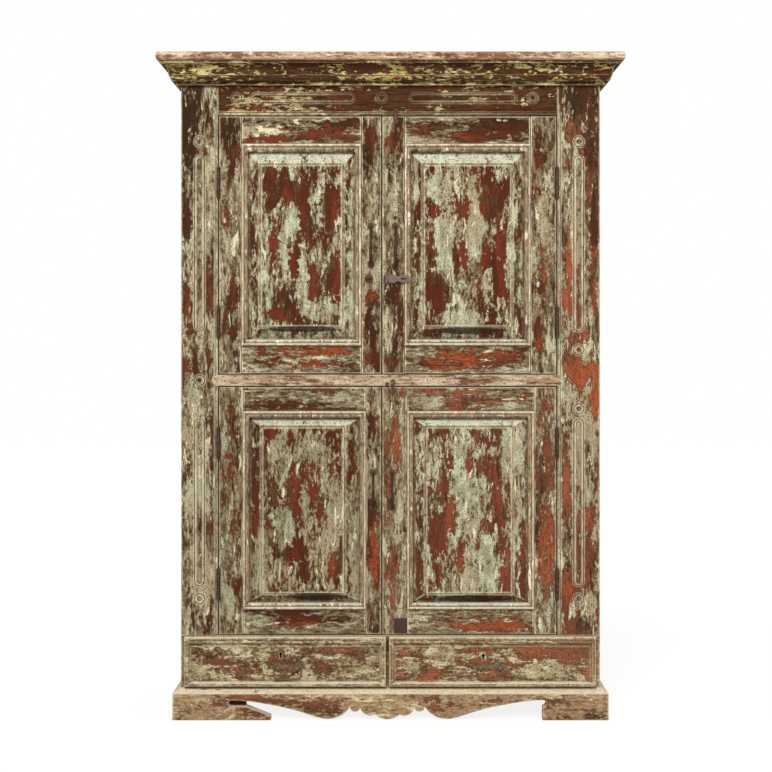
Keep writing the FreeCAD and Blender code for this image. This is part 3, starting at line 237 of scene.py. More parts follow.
class Spot(Wire):
    """A vector socket in a shader."""

    def stretched(self, scales: Triple, offset: Triple = (0.0, 0.0, 0.0)) -> "Spot":
        """Scale and shift the vector.

        Args:
            scales: Factor for each axis.
            offset: Shift added after scaling.

        Returns:
            The changed vector.
        """
        node = self.graph.node("ShaderNodeVectorMath", {"operation": "MULTIPLY_ADD"},
                               {0: self, 1: scales, 2: offset})
        return Spot(self.graph, node.outputs[0])

    def __add__(self, other: "Spot") -> "Spot":
        """Return the sum.

        Args:
            other: The other vector.

        Returns:
            The result.
        """
        node = self.graph.node("ShaderNodeVectorMath", {"operation": "ADD"}, {0: self, 1: other})
        return Spot(self.graph, node.outputs[0])

    def towards(self, other: "Spot", share: Value) -> "Spot":
        """Blend with another vector.

        Args:
            other: Vector at a share of 1.
            share: Blend from 0 to 1.

        Returns:
            The blended vector.
        """
        node = self.graph.node("ShaderNodeMix", {"data_type": "VECTOR"}, {0: share, 4: self, 5: other})
        return Spot(self.graph, node.outputs[1])

    def parts(self) -> tuple[Value, Value, Value]:
        """Split the vector.

        Returns:
            Its three components.
        """
        node = self.graph.node("ShaderNodeSeparateXYZ", {}, {0: self})
        x, y, z = (Value(self.graph, socket) for socket in node.outputs)
        return x, y, z

    def dot(self, other: "Spot") -> Value:
        """Return the scalar product.

        Args:
            other: The other vector.

        Returns:
            The product.
        """
        node = self.graph.node("ShaderNodeVectorMath", {"operation": "DOT_PRODUCT"}, {0: self, 1: other})
        return Value(self.graph, node.outputs["Value"])


class Tone(Wire):
    """A colour socket in a shader."""

    def under(self, coat: Union[Colour, "Tone"], share: Number) -> "Tone":
        """Lay another colour over this one.

        Args:
            coat: The colour on top.
            share: How much of it covers, from 0 to 1.

        Returns:
            The colour seen.
        """
        settings = {"data_type": "RGBA", "clamp_factor": True}
        node = self.graph.node("ShaderNodeMix", settings, {0: share, 6: self, 7: coat})
        return Tone(self.graph, node.outputs[2])


class Shader(Wire):
    """A shader socket."""


class Graph:
    """The nodes of one material or world, with short ways to make them."""

    def __init__(self, owner: Union[bpy.types.Material, bpy.types.World], output: str) -> None:
        """Start an empty tree.

        Args:
            owner: The material or world that holds the nodes.
            output: The type of its output node.
        """
        owner.use_nodes = True
        self.owner = owner
        self.tree = owner.node_tree
        self.tree.nodes.clear()
        self.output = self.node(output)

    @classmethod
    def material(cls, name: str) -> "Graph":
        """Start a new material.

        Args:
            name: The material's name.

        Returns:
            Its empty tree.
        """
        return cls(bpy.data.materials.new(name), "ShaderNodeOutputMaterial")

    @classmethod
    def world(cls, name: str) -> "Graph":
        """Start a new world.

        Args:
            name: The world's name.

        Returns:
            Its empty tree.
        """
        return cls(bpy.data.worlds.new(name), "ShaderNodeOutputWorld")

    def node(self, kind: str, settings: Optional[dict] = None,
             inputs: Optional[Feeds] = None) -> bpy.types.Node:
        """Make one node.

        Args:
            kind: The node's type.
            settings: Properties to set.
            inputs: Plain values or sockets by input name or index.

        Returns:
            The node.
        """
        node = self.tree.nodes.new(kind)
        for key, setting in (settings or {}).items():
            setattr(node, key, setting)
        for key, feed in (inputs or {}).items():
            if isinstance(feed, Wire):
                self.tree.links.new(feed.socket, node.inputs[key])
            else:
                node.inputs[key].default_value = feed
        return node

    def shader(self, kind: str, inputs: Feeds) -> Shader:
        """Make one shader node.

        Args:
            kind: The node's type.
            inputs: Plain values or sockets by input name or index.

        Returns:
            The shader.
        """
        return Shader(self, self.node(kind, {}, inputs).outputs[0])

    def close(self, surface: Shader) -> None:
        """Send a shader to the output.

        Args:
            surface: The shader.
        """
        self.tree.links.new(surface.socket, self.output.inputs["Surface"])

    @cached_property
    def point(self) -> Spot:
        """Return the point in the part's frame.

        Returns:
            The object coordinates.
        """
        return Spot(self, self.node("ShaderNodeTexCoord").outputs["Object"])

    @cached_property
    def normal(self) -> Spot:
        """Return the direction that the surface faces in the scene.

        Returns:
            The normal in the scene's frame.
        """
        return Spot(self, self.node("ShaderNodeNewGeometry").outputs["Normal"])

    @cached_property
    def own_normal(self) -> Spot:
        """Return the direction that the surface faces in its own object, whatever the pose.

        Returns:
            The normal in the part's frame.
        """
        return Spot(self, self.node("ShaderNodeTexCoord").outputs["Normal"])

    def number(self, amount: float) -> Value:
        """Return a plain number as a socket.

        Args:
            amount: The number.

        Returns:
            The socket.
        """
        node = self.node("ShaderNodeValue")
        node.outputs[0].default_value = amount
        return Value(self, node.outputs[0])

    def flat(self, colour: Colour) -> Tone:
        """Return a plain colour as a socket.

        Args:
            colour: The linear colour.

        Returns:
            The socket.
        """
        node = self.node("ShaderNodeRGB")
        node.outputs[0].default_value = colour
        return Tone(self, node.outputs[0])

    def noise(self, spot: Spot, scale: float, detail: float, roughness: float,
              distortion: float = 0.0) -> Value:
        """Sample a cloud of noise.

        Args:
            spot: Where to sample.
            scale: Features in a metre.
            detail: Octaves.
            roughness: Weight of the finer octaves.
            distortion: How far the cloud is warped.

        Returns:
            A value about 0.5.
        """
        node = self.node("ShaderNodeTexNoise", {}, {
            "Vector": spot, "Scale": scale, "Detail": detail, "Roughness": roughness,
            "Distortion": distortion})
        return Value(self, node.outputs[0])

    def ragged(self) -> Spot:
        """Return the point pushed about by a fine cloud.

        Returns:
            The warped point.
        """
        cloud = self.node("ShaderNodeTexNoise", {}, {
            "Vector": self.point, "Scale": RAGGED_SCALE, "Detail": 3.0, "Roughness": 0.65})
        back = tuple(-push / 2 for push in RAGGED_PUSH)
        return self.point + Spot(self, cloud.outputs["Color"]).stretched(RAGGED_PUSH, back)

    def open_sky(self, distance: float) -> Value:
        """Return how open a point is, 0 deep in a crevice and 1 in the open.

        Args:
            distance: Reach of the test in metres.

        Returns:
            The openness.
        """
        node = self.node("ShaderNodeAmbientOcclusion", {"samples": 3}, {"Distance": distance})
        return Value(self, node.outputs["AO"])

    def edges(self, radius: float) -> Value:
        """Return how near a point is to an edge, 0 on flats.

        Args:
            radius: Width of the edge band in metres.

        Returns:
            The nearness.
        """
        rounded = Spot(self, self.node("ShaderNodeBevel", {"samples": 3}, {"Radius": radius}).outputs[0])
        return 1.0 - rounded.dot(self.normal)

    def seen(self) -> Value:
        """Return 1 for rays that show the surface to the camera, straight or by a mirror or a glass.

        Returns:
            The mask.
        """
        path = self.node("ShaderNodeLightPath")
        rays = (Value(self, path.outputs[f"Is {kind} Ray"]) for kind in ("Camera", "Glossy", "Transmission"))
        camera, glossy, transmission = rays
        return camera.math("MAXIMUM", glossy).math("MAXIMUM", transmission)

    def finish(self, colour: Tone, roughness: Number, height: Value, depth: float,
               metallic: Number = 0.0) -> bpy.types.Material:
        """Close a material with a surface shader.

        Args:
            colour: Base colour.
            roughness: Roughness.
            height: Relief from 0 to 1.
            depth: Height of the relief in metres.
            metallic: Metallic share.

        Returns:
            The finished material.
        """
        bump = self.node("ShaderNodeBump", {}, {
            "Strength": BUMP_STRENGTH, "Distance": depth, "Height": height})
        self.close(self.shader("ShaderNodeBsdfPrincipled", {
            "Base Color": colour, "Roughness": roughness, "Metallic": metallic,
            "Specular IOR Level": SPECULAR_LEVEL, "Normal": Spot(self, bump.outputs[0])}))
        return self.owner


@dataclass(frozen=True)
class Patch:
    """A patch on a board, placed and sized in shares of the board's own box from its lower left."""

    mark: Mark
    across: float
    up: float
    wide: float
    tall: float

    def field(self, point: Spot, low: Vector, high: Vector) -> Value:
        """Return the patch as a soft bump.

        Args:
            point: The point to measure from.
            low: Lower corner of the board's box.
            high: Upper corner of the board's box.

        Returns:
            1 at the patch, fading to 0 round it.
        """
        size = high - low
        wide = self.wide * size.x
        tall = self.tall * size.z
        x = low.x + self.across * size.x
        z = low.z + self.up * size.z
        spot = point.stretched((1 / wide, 0.0, 1 / tall), (-x / wide, 0.0, -z / tall))
        return 1.0 - spot.dot(spot).ramp(*PATCH_FADE)


@dataclass(frozen=True)
class Span:
    """A stretch across the cupboard, from its left end to its right one."""

    low: float
    high: float

    def mask(self, graph: Graph) -> Value:
        """Return 1 between the two ends.

        Args:
            graph: The material to build in.

        Returns:
            The mask.
        """
        x = graph.point.parts()[0]
        return x.math("GREATER_THAN", self.low) * x.math("LESS_THAN", self.high)

    def seams(self, graph: Graph, wide: float) -> tuple[Value, Value]:
        """Return the joints at the two ends, and a line on each side of them.

        Args:
            graph: The material to build in.
            wide: Width of a line in metres.

        Returns:
            The mask of the dark joints and that of the pale lines beside them.
        """
        x = graph.point.parts()[0]
        reach = (x - self.low).math("ABSOLUTE").math("MINIMUM", (x - self.high).math("ABSOLUTE"))
        joint = 1.0 - reach.ramp(*(share * wide for share in JOINT_FADE))
        return joint, (1.0 - reach.ramp(*(share * wide for share in BESIDE_FADE))) - joint


# Dark colour for dirt and old varnish, and for the painted shade in crevices, creases, along paint edges and
# under things.
GRIME_AND_SHADE = srgb(44, 31, 20)


@dataclass(frozen=True)
class Coats:
    """The colours of a painted board from the wood up, each pair from dark to pale."""

    wood: Pair = (srgb(54, 33, 20), srgb(92, 70, 48))
    red: Pair = (srgb(76, 35, 22), srgb(108, 48, 30))
    orange: Colour = srgb(146, 70, 36)
    thin: Pair = (srgb(96, 79, 54), srgb(126, 110, 80))
    thick: Pair = (srgb(142, 135, 107), srgb(173, 175, 146))
    tan: Colour = srgb(154, 137, 109)
    cream: Colour = srgb(208, 198, 164)
    # Colour of the painted highlight on faces that look upward.
    highlight_colour: Colour = srgb(204, 208, 188)


BRICK: Pair = (srgb(112, 63, 43), srgb(142, 81, 56))
PANEL_COATS = Coats()
FRAME_COATS = Coats(
    red=(srgb(70, 36, 24), srgb(108, 51, 34)),
    orange=srgb(150, 74, 40),
    thin=(srgb(94, 79, 56), srgb(122, 107, 80)),
    thick=(srgb(132, 123, 96), srgb(168, 164, 134)),
    tan=srgb(154, 133, 104))
MOULDING_COATS = Coats(
    wood=(srgb(74, 48, 29), srgb(108, 78, 50)),
    thin=(srgb(110, 90, 57), srgb(138, 116, 77)),
    thick=(srgb(146, 130, 94), srgb(168, 156, 122)),
    tan=srgb(146, 124, 84),
    cream=srgb(234, 217, 188))
FRIEZE_COATS = Coats(
    wood=(srgb(50, 28, 14), srgb(84, 54, 32)),
    red=(srgb(62, 31, 17), srgb(98, 47, 28)),
    thin=(srgb(86, 62, 40), srgb(110, 84, 56)),
    thick=(srgb(146, 128, 88), srgb(186, 170, 124)),
    tan=srgb(150, 128, 90),
    cream=srgb(206, 190, 150),
    highlight_colour=srgb(190, 172, 126))
CORNICE_COATS = replace(
    FRIEZE_COATS, thick=(srgb(158, 142, 84), srgb(196, 184, 118)), tan=srgb(160, 140, 82))
TOP_COATS = Coats(
    wood=(srgb(96, 56, 36), srgb(116, 74, 50)),
    red=(srgb(130, 78, 55), srgb(150, 95, 68)),
    orange=srgb(158, 92, 60),
    thin=(srgb(150, 116, 88), srgb(166, 136, 108)),
    thick=(srgb(172, 146, 114), srgb(190, 170, 140)),
    tan=srgb(172, 132, 100),
    cream=srgb(206, 190, 162),
    highlight_colour=srgb(202, 186, 158))
MID_COATS = Coats(
    wood=(srgb(82, 52, 33), srgb(106, 72, 48)),
    red=(srgb(118, 78, 55), srgb(136, 94, 68)),
    orange=srgb(142, 90, 60),
    thin=(srgb(132, 104, 77), srgb(150, 124, 96)),
    thick=(srgb(160, 137, 108), srgb(182, 164, 135)),
    tan=srgb(158, 128, 98),
    cream=srgb(190, 172, 146),
    highlight_colour=srgb(190, 172, 146))
DRAWER_COATS = Coats(
    wood=(srgb(70, 48, 30), srgb(110, 84, 58)),
    red=(srgb(106, 65, 45), srgb(134, 82, 60)),
    thin=(srgb(100, 82, 56), srgb(124, 104, 76)),
    thick=(srgb(148, 134, 102), srgb(180, 168, 132)),
    tan=srgb(144, 122, 92),
    cream=srgb(200, 188, 150),
    highlight_colour=srgb(220, 203, 174))
PLINTH_COATS = replace(
    DRAWER_COATS,
    thin=(srgb(126, 102, 73), srgb(156, 130, 98)),
    thick=(srgb(154, 131, 99), srgb(178, 156, 123)),
    tan=srgb(162, 136, 104))


# The patches of wear and of painted shadow, by node and kind. Each is a share across and a share up
# for its middle, and its half width and half height, all in shares of the node's own box.
WEAR_AND_SHADE: dict[str, dict[Mark, tuple[Place, ...]]] = {
    "upper_left_door_panel": {
        Mark.LOST: (
            (0.235, 0.82, 0.08, 0.067), (0.44, 0.755, 0.12, 0.053), (0.53, 0.615, 0.05, 0.09),
            (0.29, 0.46, 0.05, 0.13), (0.43, 0.41, 0.04, 0.07), (0.735, 0.68, 0.08, 0.087),
            (0.77, 0.335, 0.055, 0.115), (0.6, 0.32, 0.04, 0.085), (0.34, 0.165, 0.12, 0.035)),
        Mark.KEPT: (
            (0.6, 0.68, 0.05, 0.115), (0.425, 0.61, 0.055, 0.077), (0.36, 0.475, 0.03, 0.115),
            (0.505, 0.32, 0.04, 0.135), (0.655, 0.185, 0.16, 0.05), (0.9, 0.52, 0.04, 0.385)),
        # Painted shadow and dirt along the foot of the raised field.
        Mark.SHADE_AND_DIRT: ((0.505, 0.095, 0.29, 0.015),)},
    "upper_right_door_panel": {
        Mark.LOST: (
            (0.465, 0.685, 0.06, 0.06), (0.665, 0.73, 0.075, 0.115), (0.26, 0.66, 0.045, 0.03),
            (0.23, 0.48, 0.04, 0.08), (0.465, 0.47, 0.03, 0.07), (0.74, 0.435, 0.045, 0.2),
            (0.64, 0.445, 0.045, 0.06), (0.27, 0.27, 0.1, 0.07)),
        Mark.KEPT: (
            (0.28, 0.78, 0.1, 0.07), (0.54, 0.58, 0.04, 0.24), (0.74, 0.84, 0.09, 0.045),
            (0.32, 0.53, 0.07, 0.1), (0.465, 0.145, 0.24, 0.035)),
        # Painted shadow and dirt along the foot of the raised field.
        Mark.SHADE_AND_DIRT: ((0.505, 0.082, 0.22, 0.013), (0.505, 0.095, 0.27, 0.008))},
    "lower_left_door_panel": {
        Mark.LOST: (
            (0.26, 0.875, 0.05, 0.03), (0.42, 0.595, 0.05, 0.11), (0.56, 0.645, 0.06, 0.075),
            (0.62, 0.52, 0.06, 0.075), (0.26, 0.585, 0.03, 0.07), (0.27, 0.3, 0.04, 0.05),
            (0.435, 0.29, 0.085, 0.045), (0.74, 0.22, 0.05, 0.075), (0.715, 0.69, 0.03, 0.05),
            (0.11, 0.525, 0.03, 0.19)),
        Mark.KEPT: (
            (0.575, 0.8, 0.11, 0.065), (0.34, 0.41, 0.055, 0.11), (0.74, 0.43, 0.055, 0.12),
            (0.505, 0.535, 0.03, 0.09), (0.885, 0.255, 0.04, 0.165)),
        # Painted shadow and dirt along the foot of the raised field.
        Mark.SHADE_AND_DIRT: ((0.59, 0.075, 0.25, 0.02),)},
    "lower_right_door_panel": {
        Mark.LOST: (
            (0.505, 0.715, 0.04, 0.04), (0.74, 0.55, 0.08, 0.11), (0.685, 0.695, 0.045, 0.05),
            (0.62, 0.43, 0.045, 0.05), (0.295, 0.615, 0.04, 0.035), (0.355, 0.48, 0.05, 0.08),
            (0.26, 0.375, 0.06, 0.075), (0.43, 0.25, 0.025, 0.085), (0.77, 0.205, 0.045, 0.12),
            (0.535, 0.865, 0.04, 0.03), (0.895, 0.255, 0.03, 0.18)),
        Mark.KEPT: (
            (0.22, 0.735, 0.04, 0.1), (0.41, 0.795, 0.045, 0.09), (0.45, 0.59, 0.1, 0.09),
            (0.775, 0.815, 0.045, 0.06), (0.5, 0.16, 0.07, 0.075), (0.63, 0.23, 0.045, 0.14),
            (0.865, 0.82, 0.04, 0.11)),
        # Painted shadow and dirt along the foot of the raised field.
        Mark.SHADE_AND_DIRT: ((0.53, 0.065, 0.285, 0.02),)},
    "upper_left_door_frame": {
        Mark.LOST: (
            (0.09, 0.83, 0.03, 0.065), (0.94, 0.91, 0.04, 0.04), (0.265, 0.91, 0.135, 0.015),
            (0.78, 0.955, 0.16, 0.035), (0.5, 0.91, 0.3, 0.015), (0.09, 0.155, 0.03, 0.023),
            (0.09, 0.325, 0.025, 0.07), (0.5, 0.04, 0.22, 0.014), (0.03, 0.62, 0.04, 0.06),
            (0.945, 0.295, 0.05, 0.022), (0.92, 0.21, 0.02, 0.04), (0.93, 0.06, 0.04, 0.02),
            (0.6, 0.935, 0.2, 0.015)),
        Mark.KEPT: (
            (0.315, 0.945, 0.125, 0.016), (0.11, 0.8, 0.02, 0.045), (0.02, 0.77, 0.03, 0.115),
            (0.93, 0.56, 0.06, 0.08), (0.93, 0.43, 0.06, 0.08), (0.95, 0.72, 0.03, 0.09),
            (0.06, 0.48, 0.04, 0.06)),
        Mark.PALE: ((0.3, 0.95, 0.12, 0.02),),
        Mark.DIM: ((0.5, 0.98, 0.5, 0.03), (0.08, 0.93, 0.06, 0.05), (0.94, 0.2, 0.04, 0.1),
            (0.9, 0.83, 0.04, 0.06)),
        Mark.BRIGHT: (
            (0.735, 0.09, 0.065, 0.022), (0.265, 0.09, 0.025, 0.02),
            (0.545, 0.085, 0.215, 0.012), (0.95, 0.3, 0.02, 0.008), (0.55, 0.035, 0.2, 0.01))},
    "upper_right_door_frame": {
        Mark.LOST: (
            (0.475, 0.915, 0.1, 0.025), (0.675, 0.955, 0.17, 0.03), (0.245, 0.95, 0.115, 0.027),
            (0.89, 0.69, 0.035, 0.03), (0.915, 0.83, 0.025, 0.023), (0.89, 0.175, 0.03, 0.027),
            (0.115, 0.19, 0.025, 0.04), (0.045, 0.34, 0.03, 0.08), (0.06, 0.045, 0.04, 0.02)),
        Mark.KEPT: ((0.07, 0.675, 0.025, 0.155), (0.93, 0.55, 0.04, 0.07)),
        Mark.DIM: (
            (0.5, 0.985, 0.5, 0.025), (0.05, 0.3, 0.04, 0.1), (0.04, 0.8, 0.03, 0.08),
            (0.05, 0.47, 0.03, 0.05)),
        Mark.BRIGHT: (
            (0.045, 0.91, 0.02, 0.03), (0.365, 0.05, 0.16, 0.035), (0.905, 0.105, 0.03, 0.025),
            (0.935, 0.42, 0.025, 0.07), (0.62, 0.06, 0.2, 0.03)),
        # Painted shade in a small hole.
        Mark.SHADE_AND_DIRT: ((0.075, 0.605, 0.01, 0.008),)},
    "lower_left_door_frame": {
        Mark.LOST: (
            (0.03, 0.545, 0.03, 0.04), (0.08, 0.865, 0.02, 0.08), (0.955, 0.86, 0.025, 0.03),
            (0.625, 0.99, 0.135, 0.012), (0.37, 0.925, 0.09, 0.016), (0.58, 0.93, 0.075, 0.012),
            (0.08, 0.43, 0.025, 0.032), (0.075, 0.25, 0.02, 0.065), (0.94, 0.52, 0.03, 0.05)),
        Mark.KEPT: ((0.81, 0.97, 0.085, 0.024), (0.05, 0.13, 0.04, 0.06), (0.95, 0.65, 0.03, 0.12)),
        Mark.BRIGHT: (
            (0.05, 0.665, 0.037, 0.06), (0.955, 0.34, 0.037, 0.145),
            (0.48, 0.053, 0.125, 0.032))},
    "lower_right_door_frame": {
        Mark.LOST: (
            (0.42, 0.975, 0.17, 0.012), (0.4, 0.94, 0.06, 0.012), (0.06, 0.29, 0.035, 0.1),
            (0.94, 0.93, 0.025, 0.032), (0.95, 0.745, 0.025, 0.05), (0.935, 0.625, 0.035, 0.05),
            (0.05, 0.56, 0.03, 0.07)),
        Mark.KEPT: (
            (0.275, 0.93, 0.08, 0.025), (0.98, 0.78, 0.018, 0.057), (0.705, 0.915, 0.07, 0.02),
            (0.96, 0.1, 0.03, 0.05)),
        Mark.BRIGHT: (
            (0.63, 0.925, 0.07, 0.012), (0.42, 0.91, 0.075, 0.012), (0.08, 0.765, 0.02, 0.08),
            (0.07, 0.145, 0.03, 0.05), (0.945, 0.315, 0.046, 0.185), (0.6, 0.032, 0.195, 0.025)),
        # Painted shade in small holes.
        Mark.SHADE_AND_DIRT: ((0.09, 0.935, 0.012, 0.009), (0.13, 0.425, 0.014, 0.014))},
    "post_front_left": {
        Mark.LOST: (
            (0.17, 0.72, 0.11, 0.03), (0.735, 0.6, 0.135, 0.035), (0.28, 0.535, 0.16, 0.014),
            (0.17, 0.47, 0.16, 0.012), (0.14, 0.585, 0.08, 0.035), (0.655, 0.185, 0.215, 0.009),
            (0.25, 0.29, 0.11, 0.02)),
        Mark.KEPT: (
            (0.52, 0.405, 0.35, 0.03), (0.735, 0.75, 0.16, 0.08), (0.385, 0.325, 0.325, 0.05),
            (0.6, 0.11, 0.4, 0.06), (0.5, 0.24, 0.3, 0.03)),
        Mark.DIM: ((0.5, 0.95, 0.7, 0.07), (0.2, 0.84, 0.25, 0.09), (0.15, 0.7, 0.15, 0.05))},
    "post_front_right": {
        Mark.LOST: (
            (0.3, 0.88, 0.21, 0.02), (0.72, 0.85, 0.12, 0.03), (0.18, 0.585, 0.14, 0.014),
            (0.86, 0.69, 0.07, 0.12), (0.72, 0.525, 0.1, 0.018), (0.72, 0.2, 0.165, 0.02),
            (0.77, 0.13, 0.14, 0.03), (0.2, 0.255, 0.1, 0.05)),
        Mark.KEPT: (
            (0.815, 0.245, 0.14, 0.023), (0.51, 0.055, 0.28, 0.023), (0.815, 0.34, 0.12, 0.02),
            (0.415, 0.725, 0.12, 0.105), (0.45, 0.32, 0.2, 0.06)),
        Mark.BRIGHT: (
            (0.275, 0.665, 0.05, 0.06), (0.6, 0.455, 0.38, 0.023), (0.885, 0.41, 0.12, 0.028),
            (0.25, 0.08, 0.14, 0.025)),
        Mark.DIM: ((0.5, 0.955, 0.7, 0.05), (0.8, 0.86, 0.2, 0.05), (0.85, 0.72, 0.1, 0.05))},
    "left_drawer_front": {
        Mark.LOST: (
            (0.165, 0.355, 0.025, 0.14), (0.285, 0.27, 0.035, 0.14), (0.4, 0.23, 0.035, 0.08),
            (0.625, 0.72, 0.04, 0.08), (0.82, 0.72, 0.06, 0.08), (0.875, 0.535, 0.03, 0.1),
            (0.685, 0.315, 0.045, 0.12), (0.5, 0.23, 0.06, 0.08)),
        Mark.KEPT: (
            (0.395, 0.475, 0.02, 0.16), (0.535, 0.62, 0.04, 0.1), (0.61, 0.355, 0.035, 0.2),
            (0.8, 0.27, 0.08, 0.06), (0.075, 0.355, 0.035, 0.12), (0.565, 0.07, 0.08, 0.06)),
        Mark.PALE: ((0.52, 0.84, 0.5, 0.06),)},
    "right_drawer_front": {
        Mark.LOST: (
            (0.19, 0.17, 0.065, 0.14), (0.075, 0.72, 0.025, 0.1), (0.87, 0.7, 0.105, 0.08),
            (0.965, 0.27, 0.02, 0.2), (0.505, 0.21, 0.085, 0.12)),
        Mark.KEPT: (
            (0.79, 0.29, 0.095, 0.2), (0.11, 0.395, 0.045, 0.265), (0.25, 0.62, 0.095, 0.14),
            (0.395, 0.11, 0.035, 0.06), (0.71, 0.27, 0.02, 0.2)),
        Mark.PALE: ((0.45, 0.86, 0.4, 0.05),)},
    "plinth_front": {
        Mark.LOST: (
            (0.345, 0.53, 0.05, 0.19), (0.175, 0.69, 0.09, 0.13), (0.595, 0.53, 0.02, 0.22),
            (0.855, 0.6, 0.02, 0.1)),
        Mark.PALE: ((0.5, 0.96, 0.5, 0.05),)},
}


@dataclass(frozen=True)
class Cloud:
    """A cloud of noise along the grain, which the paint's own draw lengthens further if it is drawn."""

    lengthening: float
    scale: float
    detail: float
    roughness: float
    distortion: float = 0.0
    drawn: bool = False


# The clouds of a painted board. A cloud's turn is its place in this list.
CLOUDS = {
    "broad": Cloud(lengthening=1.5, scale=17.0, detail=4.0, roughness=0.55, distortion=0.9),
    "flake": Cloud(lengthening=1.0, scale=52.0, detail=5.0, roughness=0.66, distortion=0.4, drawn=True),
    "chips": Cloud(lengthening=0.8, scale=150.0, detail=4.0, roughness=0.62, distortion=0.2, drawn=True),
    "other": Cloud(lengthening=1.1, scale=24.0, detail=6.0, roughness=0.66, distortion=0.4, drawn=True),
    "hair": Cloud(lengthening=4.0, scale=210.0, detail=3.0, roughness=0.6),
    "glow": Cloud(lengthening=1.0, scale=9.0, detail=4.0, roughness=0.55, distortion=0.4),
    "pale": Cloud(lengthening=1.4, scale=62.0, detail=5.0, roughness=0.66, distortion=0.6),
    "grit": Cloud(lengthening=0.6, scale=480.0, detail=2.0, roughness=0.6),
}


@dataclass(frozen=True)
class Board:
    """What places the wear, painted shade and painted highlight on one board: clouds of noise, masks and the
    patches' fields.
    """

    broad: Value
    flake: Value
    chips: Value
    other: Value
    hair: Value
    glow: Value
    pale: Value
    grit: Value
    speck: Value
    sky: Value
    edge: Value
    lean: Value
    indoors: Value
    fields: tuple[tuple[Mark, Value], ...]

    def shifted(self, cloud: Value, shifts: dict[Mark, float]) -> Value:
        """Raise or lower a cloud of noise at the patches that bear on it.

        Args:
            cloud: The noise.
            shifts: How far each mark moves this cloud.

        Returns:
            The changed noise.
        """
        for mark, bump in self.fields:
            if mark in shifts:
                cloud = cloud + bump * shifts[mark]
        return cloud


